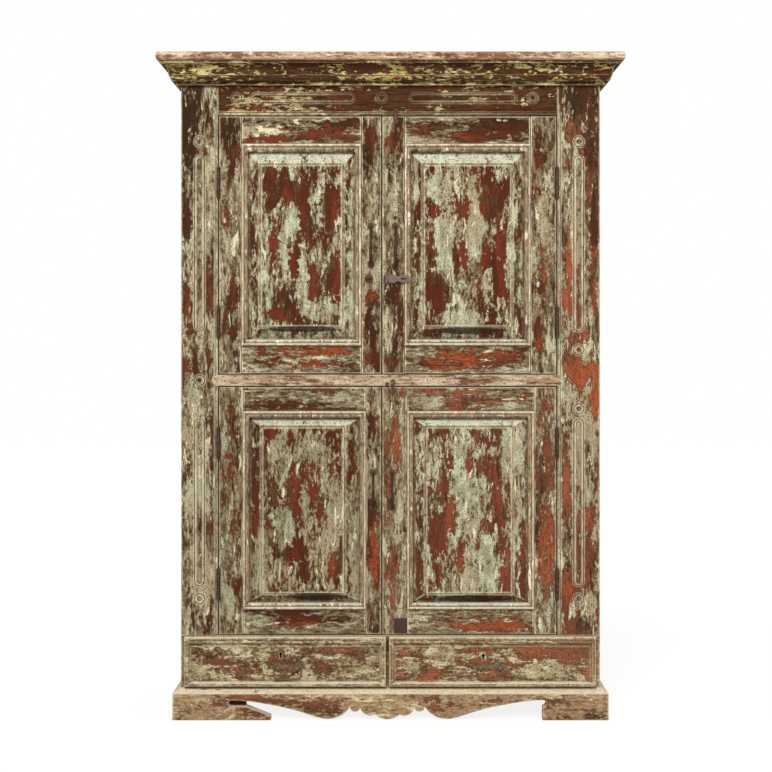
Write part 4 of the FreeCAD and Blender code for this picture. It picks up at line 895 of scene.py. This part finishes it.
@dataclass(frozen=True)
class WeatheredPaint:
    """Old paint coats worn to the wood in streaks along the grain, with painted shade and highlight."""

    name: str = "paint"
    coats: Coats = PANEL_COATS
    grain: Grain = Grain.UPRIGHT
    seed: float = 0.0
    red_edge: float = 0.47
    thin_edge: float = 0.488
    thick_edge: float = 0.515
    cream_edge: float = 0.61
    orange_edge: float = 0.66
    speck_edge: float = 0.57
    edge_cream: float = 0.85
    edge_break: float = 0.0
    edge_width: float = 0.005
    # Reach of the crevice test, and below it how dark the painted shade in crevices is.
    reach: float = 0.01
    crevice: float = 0.85
    across: Optional[Span] = None
    # How much of the painted highlight colour covers faces that look upward.
    highlight_share: float = 0.55
    soft: float = 0.008
    # How much more pale paint the faces that look upward keep: painted light on the tops.
    painted_top_light: float = 0.2
    inner: Inner = Inner.NONE
    skin: float = 0.004
    seam: float = 0.0022
    relief: float = 0.0012
    draw: float = 1.1
    blend: Triple = (0.4, 0.36, 0.24)
    wear_and_shade: tuple[Patch, ...] = ()

    def sample(self, graph: Graph, cloud: Cloud, turn: int) -> Value:
        """Sample a cloud of noise drawn out along the grain.

        Args:
            graph: The material to build in.
            cloud: The cloud.
            turn: Number that tells it from the other clouds.

        Returns:
            A value about 0.5.
        """
        lengthening = cloud.lengthening * self.draw if cloud.drawn else cloud.lengthening
        offset = tuple(self.seed * own + turn * apart for own, apart in zip(SEED_STEP, TURN_STEP))
        spot = graph.point.stretched(self.grain.drawn_out(lengthening), offset)
        if self.across is not None:
            lying = graph.point.stretched(Grain.ACROSS.drawn_out(lengthening), offset)
            spot = spot.towards(lying, self.across.mask(graph))
        return graph.noise(spot, cloud.scale, cloud.detail, cloud.roughness, cloud.distortion)

    def unpainted(self, graph: Graph, low: Vector, high: Vector) -> Value:
        """Return 1 on the faces that look into the cupboard.

        Args:
            graph: The material to build in.
            low: Lower corner of the board's box.
            high: Upper corner of the board's box.

        Returns:
            The mask.
        """
        x, y, _ = graph.point.parts()
        if self.inner is Inner.BEHIND:
            return y.over(high.y - self.skin / 2, self.skin / 4)
        if self.inner is Inner.NONE:
            return graph.number(0.0)
        between = 1.0 - x.math("ABSOLUTE").over(high.x - self.skin, self.skin / 2)
        if self.inner is Inner.WITHIN:
            between = between * y.over(low.y + self.skin, self.skin / 2)
        return between

    def board(self, graph: Graph, low: Vector, high: Vector) -> Board:
        """Gather what places the wear, painted shade and painted highlight on one board.

        Args:
            graph: The material to build in.
            low: Lower corner of the board's box.
            high: Upper corner of the board's box.

        Returns:
            The clouds, masks and fields.
        """
        ragged = graph.ragged()
        fields = []
        for patch in self.wear_and_shade:
            point = graph.point if patch.mark in SHADE_AND_DIRT_SHIFT else ragged
            fields.append((patch.mark, patch.field(point, low, high)))
        loose = graph.point.stretched((1.0, 1.0, 1.0), (self.seed, 0.0, 0.0))
        turns = enumerate(CLOUDS.items())
        return Board(
            **{name: self.sample(graph, cloud, turn) for turn, (name, cloud) in turns},
            speck=graph.noise(loose, scale=260.0, detail=3.0, roughness=0.65),
            sky=graph.open_sky(self.reach),
            edge=graph.edges(self.edge_width),
            lean=graph.own_normal.parts()[2],
            indoors=self.unpainted(graph, low, high),
            fields=tuple(fields))

    def ground(self, graph: Graph, board: Board) -> Tone:
        """Return the wood and what is left of the red on it.

        Args:
            graph: The material to build in.
            board: What places the wear.

        Returns:
            The colour below the pale coats.
        """
        coats = self.coats
        wood = graph.flat(coats.wood[0]).under(coats.wood[1], board.hair.ramp(0.38, 0.62))
        red = graph.flat(coats.red[0]).under(coats.red[1], board.broad.ramp(0.38, 0.58))
        bright = board.shifted(board.glow, RED_SHIFT).over(self.orange_edge, 0.06)
        red = red.under(coats.orange, bright * board.hair.ramp(0.3, 0.6))
        stain = board.shifted(board.other * 0.7 + board.chips * 0.3, RED_SHIFT) - board.indoors
        dim = board.shifted(board.flake - 0.5, DIM_SHIFT).ramp(0.2, 0.8)
        return wood.under(red, stain.over(self.red_edge, 0.02)).under(GRIME_AND_SHADE, dim * 0.8)

    def painted(self, graph: Graph, board: Board) -> tuple[Tone, Value, Value]:
        """Lay what is left of the pale coats over the ground, with painted shade round the thin wash and a
        painted highlight on upward faces.

        Args:
            graph: The material to build in.
            board: What places the wear, painted shade and painted highlight.

        Returns:
            The colour, and the masks of the thin wash and of the thick coat.
        """
        coats = self.coats
        wide, middle, fine = self.blend
        coat = board.broad * wide + board.flake * middle + board.chips * fine
        # Faces that look upward keep more pale paint: painted light on the tops.
        coat = coat + board.lean.math("MAXIMUM", 0.0) * self.painted_top_light
        coat = board.shifted(coat, PAINT_SHIFT) - board.indoors
        thin = coat.over(self.thin_edge, self.soft)
        # A dark rim just outside the thin wash: painted shade along the paint's edge.
        rim = (coat.over(self.thin_edge - 0.024, 0.012) - thin).math("MAXIMUM", 0.0)
        wash = graph.flat(coats.thin[0]).under(coats.thin[1], board.chips.ramp(0.36, 0.6))
        colour = self.ground(graph, board).under(GRIME_AND_SHADE, rim * 0.7).under(wash, thin * 0.9)
        thick = (coat * 0.75 + board.other * 0.13 + board.chips * 0.12).over(self.thick_edge, self.soft)
        top = graph.flat(coats.thick[0]).under(coats.thick[1], board.flake.ramp(0.46, 0.62))
        top = top.under(coats.tan, board.glow.ramp(0.5, 0.58) * 0.7)
        # Painted highlight on faces that look upward.
        top = top.under(coats.highlight_colour, board.lean.ramp(0.12, 0.4) * self.highlight_share)
        light = board.shifted(board.pale, PALE_SHIFT).over(self.cream_edge, 0.02)
        light = light * coat.over(self.thin_edge - 0.03, 0.03) * 0.9
        return colour.under(top, thick).under(coats.cream, light), thin, thick

    def aged(self, graph: Graph, board: Board, colour: Tone, thin: Value, thick: Value) -> Tone:
        """Add grit, worn edges and dirt to the paint, and painted shade in creases, crevices, holes, under
        the raised fields and on downward faces.

        Args:
            graph: The material to build in.
            board: What places the wear, painted shade and painted highlight.
            colour: The paint's colour.
            thin: Mask of the thin wash.
            thick: Mask of the thick coat.

        Returns:
            The colour seen.
        """
        coats = self.coats
        bare = 1.0 - thick * 0.6
        dots = board.grit.ramp(0.54, 0.7) * bare * board.flake.ramp(0.38, 0.6) * 0.45
        dots = dots + board.speck.over(self.speck_edge, 0.025) * 0.75
        colour = colour.under(GRIME_AND_SHADE, dots)
        colour = colour.under(coats.cream, (1.0 - board.grit).ramp(0.58, 0.72) * thin * 0.35)
        colour = colour.under(coats.wood[0], board.hair.ramp(0.55, 0.67) * bare * 0.55)
        worn = board.edge.ramp(0.004, 0.05) * board.sky.ramp(0.3, 0.6)
        worn = worn * (board.chips.ramp(0.36, 0.5) * 0.5 + 0.5)
        worn = worn * (1.0 - (1.0 - board.broad.ramp(0.42, 0.56)) * self.edge_break)
        worn = worn * (1.0 - board.indoors * 0.8)
        colour = colour.under(coats.cream, worn * self.edge_cream)
        # Edges deep in creases are darkened: painted shade.
        colour = colour.under(GRIME_AND_SHADE, board.edge.ramp(0.01, 0.1) * (1.0 - board.sky.ramp(0.7, 0.92)) * 0.7)
        # Dark patches: painted shadow and dirt under the raised fields, and painted shade in small holes.
        dirt_and_shade = board.shifted(board.flake - 0.5, SHADE_AND_DIRT_SHIFT) - board.indoors
        colour = colour.under(GRIME_AND_SHADE, dirt_and_shade.ramp(0.15, 0.75) * 0.9)
        # Faces that look downward are darkened: painted shade under things.
        colour = colour.under(GRIME_AND_SHADE, (board.lean * -1.0).ramp(0.08, 0.42) * 0.25)
        if self.across is not None:
            joint, beside = self.across.seams(graph, self.seam)
            beside = beside * board.flake.ramp(0.42, 0.56) * (1.0 - board.indoors)
            colour = colour.under(coats.cream, beside * 0.8).under(GRIME_AND_SHADE, joint * 0.85)
        # Crevices are darkened: painted shade.
        return colour.under(GRIME_AND_SHADE, (1.0 - board.sky.ramp(0.2, 0.8)) * self.crevice)

    def material(self, low: Vector, high: Vector) -> bpy.types.Material:
        """Build the material for one board.

        Args:
            low: Lower corner of the board's box.
            high: Upper corner of the board's box.

        Returns:
            The material.
        """
        graph = Graph.material(self.name)
        board = self.board(graph, low, high)
        colour, thin, thick = self.painted(graph, board)
        colour = self.aged(graph, board, colour, thin, thick)
        height = thick * 0.5 + thin * 0.3 + board.hair * 0.4 + board.chips * 0.3
        return graph.finish(colour, 0.7 + board.speck * 0.25, height, self.relief)


PANEL_PAINT = WeatheredPaint(edge_width=0.008, edge_cream=0.95, red_edge=0.445, thin_edge=0.482)
FRAME_PAINT = WeatheredPaint(
    coats=FRAME_COATS, draw=1.4, soft=0.016, red_edge=0.45, thin_edge=0.468, thick_edge=0.525,
    cream_edge=0.62)
MOULDING_PAINT = WeatheredPaint(
    coats=MOULDING_COATS, red_edge=0.44, thin_edge=0.455, thick_edge=0.54, cream_edge=0.6,
    edge_cream=1.0, edge_width=0.004, speck_edge=0.61)
POST_PAINT = replace(
    FRAME_PAINT, soft=0.012, thin_edge=0.484, red_edge=0.475, edge_cream=1.0, reach=0.014)
FRIEZE_PAINT = WeatheredPaint(
    coats=FRIEZE_COATS, grain=Grain.ACROSS, blend=(0.36, 0.38, 0.26), red_edge=0.52, thin_edge=0.552,
    thick_edge=0.55, cream_edge=0.63, edge_break=0.6, edge_width=0.004)
CORNICE_PAINT = replace(FRIEZE_PAINT, coats=CORNICE_COATS, draw=1.0, thin_edge=0.524, thick_edge=0.522)
TOP_PAINT = WeatheredPaint(
    coats=TOP_COATS, grain=Grain.ACROSS, red_edge=0.44, thin_edge=0.5, thick_edge=0.53, cream_edge=0.57,
    speck_edge=0.62, edge_cream=0.5, crevice=0.6, highlight_share=0.3, soft=0.02, painted_top_light=0.02)
MID_PAINT = replace(
    TOP_PAINT, coats=MID_COATS, draw=2.2, soft=0.03, thin_edge=0.47, thick_edge=0.5, speck_edge=0.58)
DRAWER_PAINT = WeatheredPaint(
    coats=DRAWER_COATS, grain=Grain.ACROSS, draw=0.8, red_edge=0.46, thin_edge=0.492, thick_edge=0.535,
    cream_edge=0.6, orange_edge=0.7, blend=(0.34, 0.38, 0.28), highlight_share=0.9)
PLINTH_PAINT = replace(
    DRAWER_PAINT, coats=PLINTH_COATS, draw=1.2, soft=0.02, thin_edge=0.455, speck_edge=0.61)


@dataclass(frozen=True)
class BareWood:
    """Unpainted boards, with fibres, stains and painted shade in crevices."""

    name: str
    grain: Grain = Grain.ACROSS
    seed: float = 6.0
    dark: Colour = srgb(84, 56, 36)
    pale: Colour = srgb(140, 102, 68)
    stain: Colour = srgb(70, 46, 32)
    stain_edge: float = 0.55
    lengthening: float = 4.0
    # Reach of the crevice test for the painted shade.
    reach: float = 0.03
    relief: float = 0.0008
    planks: int = 1
    width: Span = Span(0.0, 1.0)

    def material(self) -> bpy.types.Material:
        """Build the material.

        Returns:
            The material.
        """
        graph = Graph.material(self.name)
        share = (graph.point.parts()[0] - self.width.low) / (self.width.high - self.width.low) * self.planks
        plank = share.math("FLOOR")
        apart = graph.node("ShaderNodeCombineXYZ", {}, {1: plank * 1.3, 2: plank * 3.7})
        step = Spot(graph, apart.outputs[0])
        offset = tuple(self.seed * apart for apart in WOOD_STEP)
        fibre = graph.noise(
            graph.point.stretched(self.grain.drawn_out(self.lengthening), offset) + step,
            scale=120.0, detail=5.0, roughness=0.65)
        cloud = graph.noise(
            graph.point.stretched(self.grain.drawn_out(), offset) + step,
            scale=14.0, detail=5.0, roughness=0.6, distortion=0.5)
        sky = graph.open_sky(self.reach)
        colour = graph.flat(self.dark).under(self.pale, fibre.ramp(0.35, 0.66))
        colour = colour.under(self.stain, cloud.over(self.stain_edge, 0.06) * 0.75)
        if self.planks > 1:
            colour = colour.under(self.pale, (plank * 2.4).math("SINE").ramp(-1.0, 1.0) * 0.4)
            joint = (share.math("FRACT") - 0.5).math("ABSOLUTE").ramp(0.48, 0.5)
            colour = colour.under(GRIME_AND_SHADE, joint * 0.8)
        # Crevices are darkened: painted shade.
        colour = colour.under(GRIME_AND_SHADE, (1.0 - sky.ramp(0.25, 0.8)) * 0.7)
        return graph.finish(colour, 0.6 + fibre * 0.3, fibre, self.relief)


@dataclass(frozen=True)
class OldIron:
    """Forged iron, dark in the open and rusted in patches, with painted highlights on its edges and front
    faces.
    """

    name: str
    dark: Colour
    pale: Colour
    rust: Colour
    rust_edge: float = 0.55
    metallic: float = 0.4
    # How much of the pale colour is painted on faces that look to the front, as a highlight.
    front_highlight: float = 0.0
    edge_width: float = 0.0014
    relief: float = 0.0004

    def material(self) -> bpy.types.Material:
        """Build the material.

        Returns:
            The material.
        """
        graph = Graph.material(self.name)
        cloud = graph.noise(graph.point, scale=130.0, detail=5.0, roughness=0.6)
        fine = graph.noise(graph.point, scale=620.0, detail=3.0, roughness=0.6)
        edge = graph.edges(self.edge_width)
        ahead = (graph.own_normal.parts()[1] * -1.0).ramp(0.9, 0.99)
        rusty = cloud.over(self.rust_edge, 0.05)
        # Pale on the edges is a painted highlight; the fine mottle is the iron's own.
        bright = edge.ramp(0.05, 0.3) * 0.5 + fine.ramp(0.5, 0.75) * 0.3
        colour = graph.flat(self.dark).under(self.pale, bright).under(self.rust, rusty * 0.8)
        # Painted highlight on faces that look to the front.
        colour = colour.under(self.pale, ahead * cloud.ramp(0.36, 0.6) * self.front_highlight)
        return graph.finish(colour, 0.45 + rusty * 0.4, fine, self.relief, self.metallic * (1.0 - rusty))


HANDLE_IRON = OldIron("handle_iron", srgb(50, 34, 26), srgb(158, 130, 102), srgb(74, 46, 32), front_highlight=0.16)
PULL_IRON = OldIron(
    "pull_iron", srgb(84, 70, 54), srgb(150, 134, 108), srgb(106, 76, 54),
    rust_edge=0.5, metallic=0.3, front_highlight=0.3)
HASP_IRON = OldIron("hasp_iron", srgb(100, 85, 78), srgb(184, 168, 160), srgb(112, 80, 68), rust_edge=0.52)
SHEET_IRON = OldIron(
    "sheet_iron", srgb(66, 50, 42), srgb(96, 78, 70), srgb(76, 48, 44), rust_edge=0.52, metallic=0.2)


@dataclass(frozen=True)
class Lamp:
    """A square soft lamp, its place and side in metres and its power in watts."""

    name: str
    place: Triple
    size: float
    watts: float


@dataclass
class Stage:
    """The floor, the white surround, the lamps and the camera."""

    camera_at: Triple = (0.0, -4.818, 1.084)
    lens: float = 74.9
    shift: tuple[float, float] = (-0.0058, -0.0596)
    sensor: float = 36.0
    farthest: float = 100.0
    white: Colour = srgb(255, 255, 255)
    floor_tone: Colour = srgb(236, 236, 234)
    floor_glow: float = 1.08
    floor_half: float = 12.0
    shadow_kept: float = 0.2
    shadow_fades: tuple[float, float] = (1.2, 3.5)
    lamp_aim: Triple = (0.0, 0.0, 0.9)
    soft_light: float = 0.3
    clear_light: float = 1.0
    lamps: tuple[Lamp, ...] = (
        Lamp("key", (-1.0, -6.0, 4.9), 2.6, 500.0),
        Lamp("fill", (3.6, -5.6, 2.0), 3.0, 90.0),
        Lamp("back", (2.5, 5.5, 3.6), 3.0, 160.0))

    def floor(self) -> None:
        """Lay a pale matt floor that shows white and keeps the shadow about the cupboard."""
        graph = Graph.material("floor_white")
        near = 1.0 - graph.point.dot(graph.point).math("SQRT").ramp(*self.shadow_fades)
        matt = graph.shader("ShaderNodeBsdfDiffuse", {"Color": self.floor_tone})
        glow = graph.shader("ShaderNodeEmission", {"Color": self.white, "Strength": self.floor_glow})
        share = graph.seen() * (1.0 - near * self.shadow_kept)
        graph.close(graph.shader("ShaderNodeMixShader", {0: share, 1: matt, 2: glow}))
        bpy.ops.object.select_all(action="DESELECT")
        bpy.ops.mesh.primitive_plane_add(size=2 * self.floor_half, location=(0.0, 0.0, 0.0))
        floor = bpy.context.active_object
        floor.name = "floor"
        floor.data.materials.append(graph.owner)

    def surround(self) -> None:
        """Hang a white surround that gives a soft light."""
        graph = Graph.world("surround")
        soft = graph.shader("ShaderNodeBackground", {"Color": self.white, "Strength": self.soft_light})
        clear = graph.shader("ShaderNodeBackground", {"Color": self.white, "Strength": self.clear_light})
        graph.close(graph.shader("ShaderNodeMixShader", {0: graph.seen(), 1: soft, 2: clear}))
        bpy.context.scene.world = graph.owner

    def hang(self, lamp: Lamp) -> None:
        """Hang one lamp and aim it at the cupboard.

        Args:
            lamp: The lamp.
        """
        data = bpy.data.lights.new(lamp.name, "AREA")
        data.size = lamp.size
        data.energy = lamp.watts
        hung = bpy.data.objects.new(lamp.name, data)
        hung.location = lamp.place
        hung.rotation_mode = "QUATERNION"
        hung.rotation_quaternion = (Vector(self.lamp_aim) - Vector(lamp.place)).to_track_quat("-Z", "Y")
        bpy.context.scene.collection.objects.link(hung)

    def camera(self) -> None:
        """Set the camera in front of the cupboard."""
        data = bpy.data.cameras.new("view")
        data.lens = self.lens
        data.sensor_width = self.sensor
        data.shift_x, data.shift_y = self.shift
        data.clip_end = self.farthest
        camera = bpy.data.objects.new("view", data)
        camera.location = self.camera_at
        camera.rotation_euler = (math.pi / 2, 0.0, 0.0)
        bpy.context.scene.collection.objects.link(camera)
        bpy.context.scene.camera = camera

    def build(self) -> None:
        """Make the stage."""
        bpy.context.scene.view_settings.view_transform = "Standard"
        self.floor()
        self.surround()
        for lamp in self.lamps:
            self.hang(lamp)
        self.camera()


@dataclass
class SubAssembly:
    """A group of the cupboard's nodes that are finished together."""

    nodes: dict[str, bpy.types.Object]

    def dress(self, node: str, material: bpy.types.Material) -> None:
        """Give one node its material.

        Args:
            node: The node's name.
            material: Its material.
        """
        data = self.nodes[node].data
        data.materials.clear()
        data.materials.append(material)

    def paint(self, node: str, paint: WeatheredPaint) -> None:
        """Paint one node, with its own patches of wear and of painted shadow.

        Args:
            node: The node's name.
            paint: Its paint.
        """
        low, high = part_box(node)
        kinds = WEAR_AND_SHADE.get(node, {}).items()
        wear_and_shade = tuple(Patch(mark, *place) for mark, places in kinds for place in places)
        self.dress(node, replace(paint, name=node + "_paint", wear_and_shade=wear_and_shade).material(low, high))


@dataclass
class Doors(SubAssembly):
    """The four panelled doors."""

    frame_paint: WeatheredPaint = FRAME_PAINT
    panel_paint: WeatheredPaint = PANEL_PAINT
    moulding_paint: WeatheredPaint = MOULDING_PAINT
    brick: Pair = BRICK
    clay: Pair = (srgb(98, 50, 34), srgb(126, 66, 45))
    dull: Pair = (srgb(124, 117, 90), srgb(152, 149, 120))
    flecks: Triple = (0.32, 0.39, 0.29)
    first_seed: float = 1.0
    seed_step: float = 2.37
    panel_seed: float = 0.61
    moulding_seed: float = 0.87

    def build(self) -> None:
        """Paint the doors."""
        for index, door in enumerate(Door):
            seed = self.first_seed + index * self.seed_step
            low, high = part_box(door.value + "_panel_moulding")
            boards = {
                "_door_frame": replace(
                    self.frame_paint, seed=seed, across=Span(low.x, high.x), inner=Inner.BEHIND),
                "_door_panel": replace(self.panel_paint, seed=seed + self.panel_seed, inner=Inner.BEHIND),
                "_panel_moulding": replace(self.moulding_paint, seed=seed + self.moulding_seed)}
            for board, paint in boards.items():
                if door in (Door.LOWER_LEFT, Door.LOWER_RIGHT):
                    paint = replace(paint, blend=self.flecks)
                if door is Door.LOWER_LEFT:
                    paint = replace(paint, coats=replace(paint.coats, thick=self.dull))
                if door is Door.LOWER_RIGHT:
                    red = self.clay if board == "_door_panel" else self.brick
                    paint = replace(paint, coats=replace(paint.coats, red=red))
                self.paint(door.value + board, paint)


@dataclass
class Case(SubAssembly):
    """The posts, rails, sides and back, and the boards inside."""

    post_paint: WeatheredPaint = POST_PAINT
    frieze_paint: WeatheredPaint = FRIEZE_PAINT
    mid_paint: WeatheredPaint = MID_PAINT
    brick: Pair = BRICK
    inside: tuple[str, ...] = ("mid_floor", "shelves", "shelf_battens")
    back_planks: int = 6

    def build(self) -> None:
        """Finish the case."""
        post = self.post_paint
        self.paint("post_front_left", replace(post, seed=11.3))
        self.paint("post_front_right", replace(
            post, seed=13.9, coats=replace(post.coats, red=self.brick), red_edge=0.46, thin_edge=0.504))
        self.paint("posts_rear", replace(post, seed=15.1))
        self.paint("side_panels", replace(post, seed=17.3, inner=Inner.BETWEEN))
        self.paint("side_rails", replace(post, seed=16.2, grain=Grain.DEEP, inner=Inner.BETWEEN))
        self.paint("frieze_rail", replace(self.frieze_paint, seed=21.0))
        self.paint("mid_rail", replace(self.mid_paint, seed=24.7))
        for node in self.inside:
            self.dress(node, BareWood(node + "_wood").material())
        low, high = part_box("back_planks")
        self.dress("back_planks", BareWood(
            "back_wood", Grain.UPRIGHT, planks=self.back_planks, width=Span(low.x, high.x)).material())


@dataclass
class Cornice(SubAssembly):
    """The coved moulding round the head and the board on top."""

    moulding_paint: WeatheredPaint = CORNICE_PAINT
    top_paint: WeatheredPaint = TOP_PAINT

    def build(self) -> None:
        """Finish the cornice."""
        self.paint("cornice_front_moulding", replace(self.moulding_paint, seed=22.4))
        self.paint("cornice_side_mouldings", replace(self.moulding_paint, seed=23.1, grain=Grain.DEEP))
        self.paint("cornice_top_board", replace(self.top_paint, seed=25.3))


@dataclass
class Base(SubAssembly):
    """The two drawers and the plinth under them."""

    drawer_paint: WeatheredPaint = DRAWER_PAINT
    plinth_paint: WeatheredPaint = PLINTH_PAINT
    right_red: Pair = (srgb(128, 78, 54), srgb(154, 92, 64))
    first_seed: float = 34.0
    seed_step: float = 1.7
    across: tuple[str, ...] = ("plinth_front", "base_divider", "base_bottom")
    deep: tuple[str, ...] = ("plinth_sides", "base_sides")
    bare: tuple[str, ...] = (
        "base_back", "plinth_back", "plinth_corner_blocks", "left_drawer_box", "right_drawer_box")

    def build(self) -> None:
        """Finish the drawers and the plinth."""
        drawer = self.drawer_paint
        self.paint("left_drawer_front", replace(drawer, seed=31.0))
        self.paint("right_drawer_front", replace(
            drawer, seed=32.7, coats=replace(drawer.coats, red=self.right_red), red_edge=0.44,
            thin_edge=0.5))
        for index, node in enumerate(self.across):
            self.paint(node, replace(self.plinth_paint, seed=self.first_seed + index * self.seed_step))
        self.paint("lower_floor", replace(self.plinth_paint, seed=39.1, inner=Inner.WITHIN))
        for node in self.deep:
            self.paint(node, replace(self.plinth_paint, seed=41.0, grain=Grain.DEEP))
        for node in self.bare:
            self.dress(node, BareWood(node + "_wood").material())


@dataclass
class Ironwork(SubAssembly):
    """The hinges, handles, hooks, pulls and the hasp."""

    finishes: dict[str, OldIron] = field(default_factory=lambda: {
        "staple": HANDLE_IRON, "hasp": HASP_IRON, "pull": PULL_IRON, "bail": PULL_IRON,
        "hinge": HANDLE_IRON, "handle": HANDLE_IRON, "hook": HANDLE_IRON})

    def build(self) -> None:
        """Finish each iron node by the first word of the list that its name holds."""
        made = {iron.name: iron.material() for iron in self.finishes.values()}
        for node in self.nodes:
            irons = [iron for word, iron in self.finishes.items() if word in node]
            if irons:
                self.dress(node, made[irons[0].name])


@dataclass
class RepairPlate:
    """A scrap of sheet iron nailed over the foot of the lower right door's meeting stile."""

    frame_node: str = "lower_right_door_frame"
    moulding_node: str = "lower_right_panel_moulding"
    body: str = "lower_right_door"
    slot: str = "dark_iron"
    iron: OldIron = SHEET_IRON
    wide: float = 0.038
    tall: float = 0.043
    thick: float = 0.0012
    sunk: float = 0.0003
    lift: float = 0.002
    nail_radius: float = 0.0019
    nail_high: float = 0.001
    nail_inset: float = 0.005
    nail_sides: int = 12
    nail_narrowing: float = 0.6
    edge_share: float = 0.25
    edge_steps: int = 2

    def turn_up(self, centre: Vector) -> None:
        """Stand the selected flat shape up, facing the front, and move it to its place.

        Args:
            centre: Where its middle goes.
        """
        bpy.ops.transform.rotate(
            value=math.pi / 2, orient_axis="X", orient_type="GLOBAL", center_override=(0.0, 0.0, 0.0))
        bpy.ops.transform.translate(value=centre)

    def close(self, name: str, material: bpy.types.Material) -> None:
        """Leave Edit Mode and put the shape on the door.

        Args:
            name: The piece's name.
            material: Its material.
        """
        bpy.ops.mesh.select_all(action="SELECT")
        bpy.ops.mesh.normals_make_consistent(inside=False)
        bpy.ops.object.mode_set(mode="OBJECT")
        piece = bpy.context.active_object
        piece.name = name
        piece.data.materials.append(material)
        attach(piece, self.body)

    def sheet(self, centre: Vector, material: bpy.types.Material) -> None:
        """Cut the sheet.

        Args:
            centre: Middle of its back.
            material: Its material.
        """
        bpy.ops.object.select_all(action="DESELECT")
        bpy.ops.mesh.primitive_plane_add(size=1.0)
        bpy.ops.object.mode_set(mode="EDIT")
        bpy.ops.mesh.select_all(action="SELECT")
        bpy.ops.transform.resize(value=(self.wide, self.tall, 1.0))
        self.turn_up(centre)
        bpy.ops.mesh.extrude_region_move(TRANSFORM_OT_translate={"value": (0.0, -self.thick, 0.0)})
        bpy.ops.mesh.select_all(action="SELECT")
        bpy.ops.mesh.bevel(offset=self.thick * self.edge_share, segments=self.edge_steps)
        self.close("repair_plate", material)

    def nail(self, name: str, centre: Vector, material: bpy.types.Material) -> None:
        """Raise one nail head.

        Args:
            name: The piece's name.
            centre: Middle of its back.
            material: Its material.
        """
        bpy.ops.object.select_all(action="DESELECT")
        bpy.ops.mesh.primitive_circle_add(
            vertices=self.nail_sides, radius=self.nail_radius, fill_type="NGON")
        bpy.ops.object.mode_set(mode="EDIT")
        bpy.ops.mesh.select_all(action="SELECT")
        self.turn_up(centre)
        rise = Vector((0.0, -self.nail_high / 2, 0.0))
        for narrowing in (1.0, self.nail_narrowing):
            bpy.ops.mesh.extrude_region_move(TRANSFORM_OT_translate={"value": rise})
            bpy.ops.transform.resize(value=(narrowing, 1.0, narrowing))
        self.close(name, material)

    def build(self) -> None:
        """Nail the plate on."""
        low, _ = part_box(self.frame_node)
        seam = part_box(self.moulding_node)[0].x
        material = self.iron.material()
        centre = Vector((seam - self.wide / 2, low.y + self.sunk, low.z + self.lift + self.tall / 2))
        self.sheet(centre, material)
        face = Vector((0.0, -self.thick + self.sunk, 0.0))
        across = self.wide / 2 - self.nail_inset
        up = self.tall / 2 - self.nail_inset
        for index, (side, level) in enumerate(((-1, -1), (1, -1), (-1, 1), (1, 1))):
            step = Vector((side * across, 0.0, level * up))
            self.nail(f"repair_nail_{index + 1}", centre + face + step, material)


@dataclass
class Cupboard:
    """The whole cupboard, by its sub-assemblies."""

    nodes: dict[str, bpy.types.Object]

    def build(self) -> None:
        """Finish every sub-assembly."""
        for part in (Doors, Case, Cornice, Base, Ironwork):
            part(self.nodes).build()
            log.info("finished the %s", part.__name__.lower())
        RepairPlate().build()


def main() -> None:
    """Build the stage and the cupboard's looks."""
    logging.basicConfig(level=logging.INFO)
    Stage().build()
    Cupboard(frame["nodes"]).build()


if __name__ == "__main__":
    main()
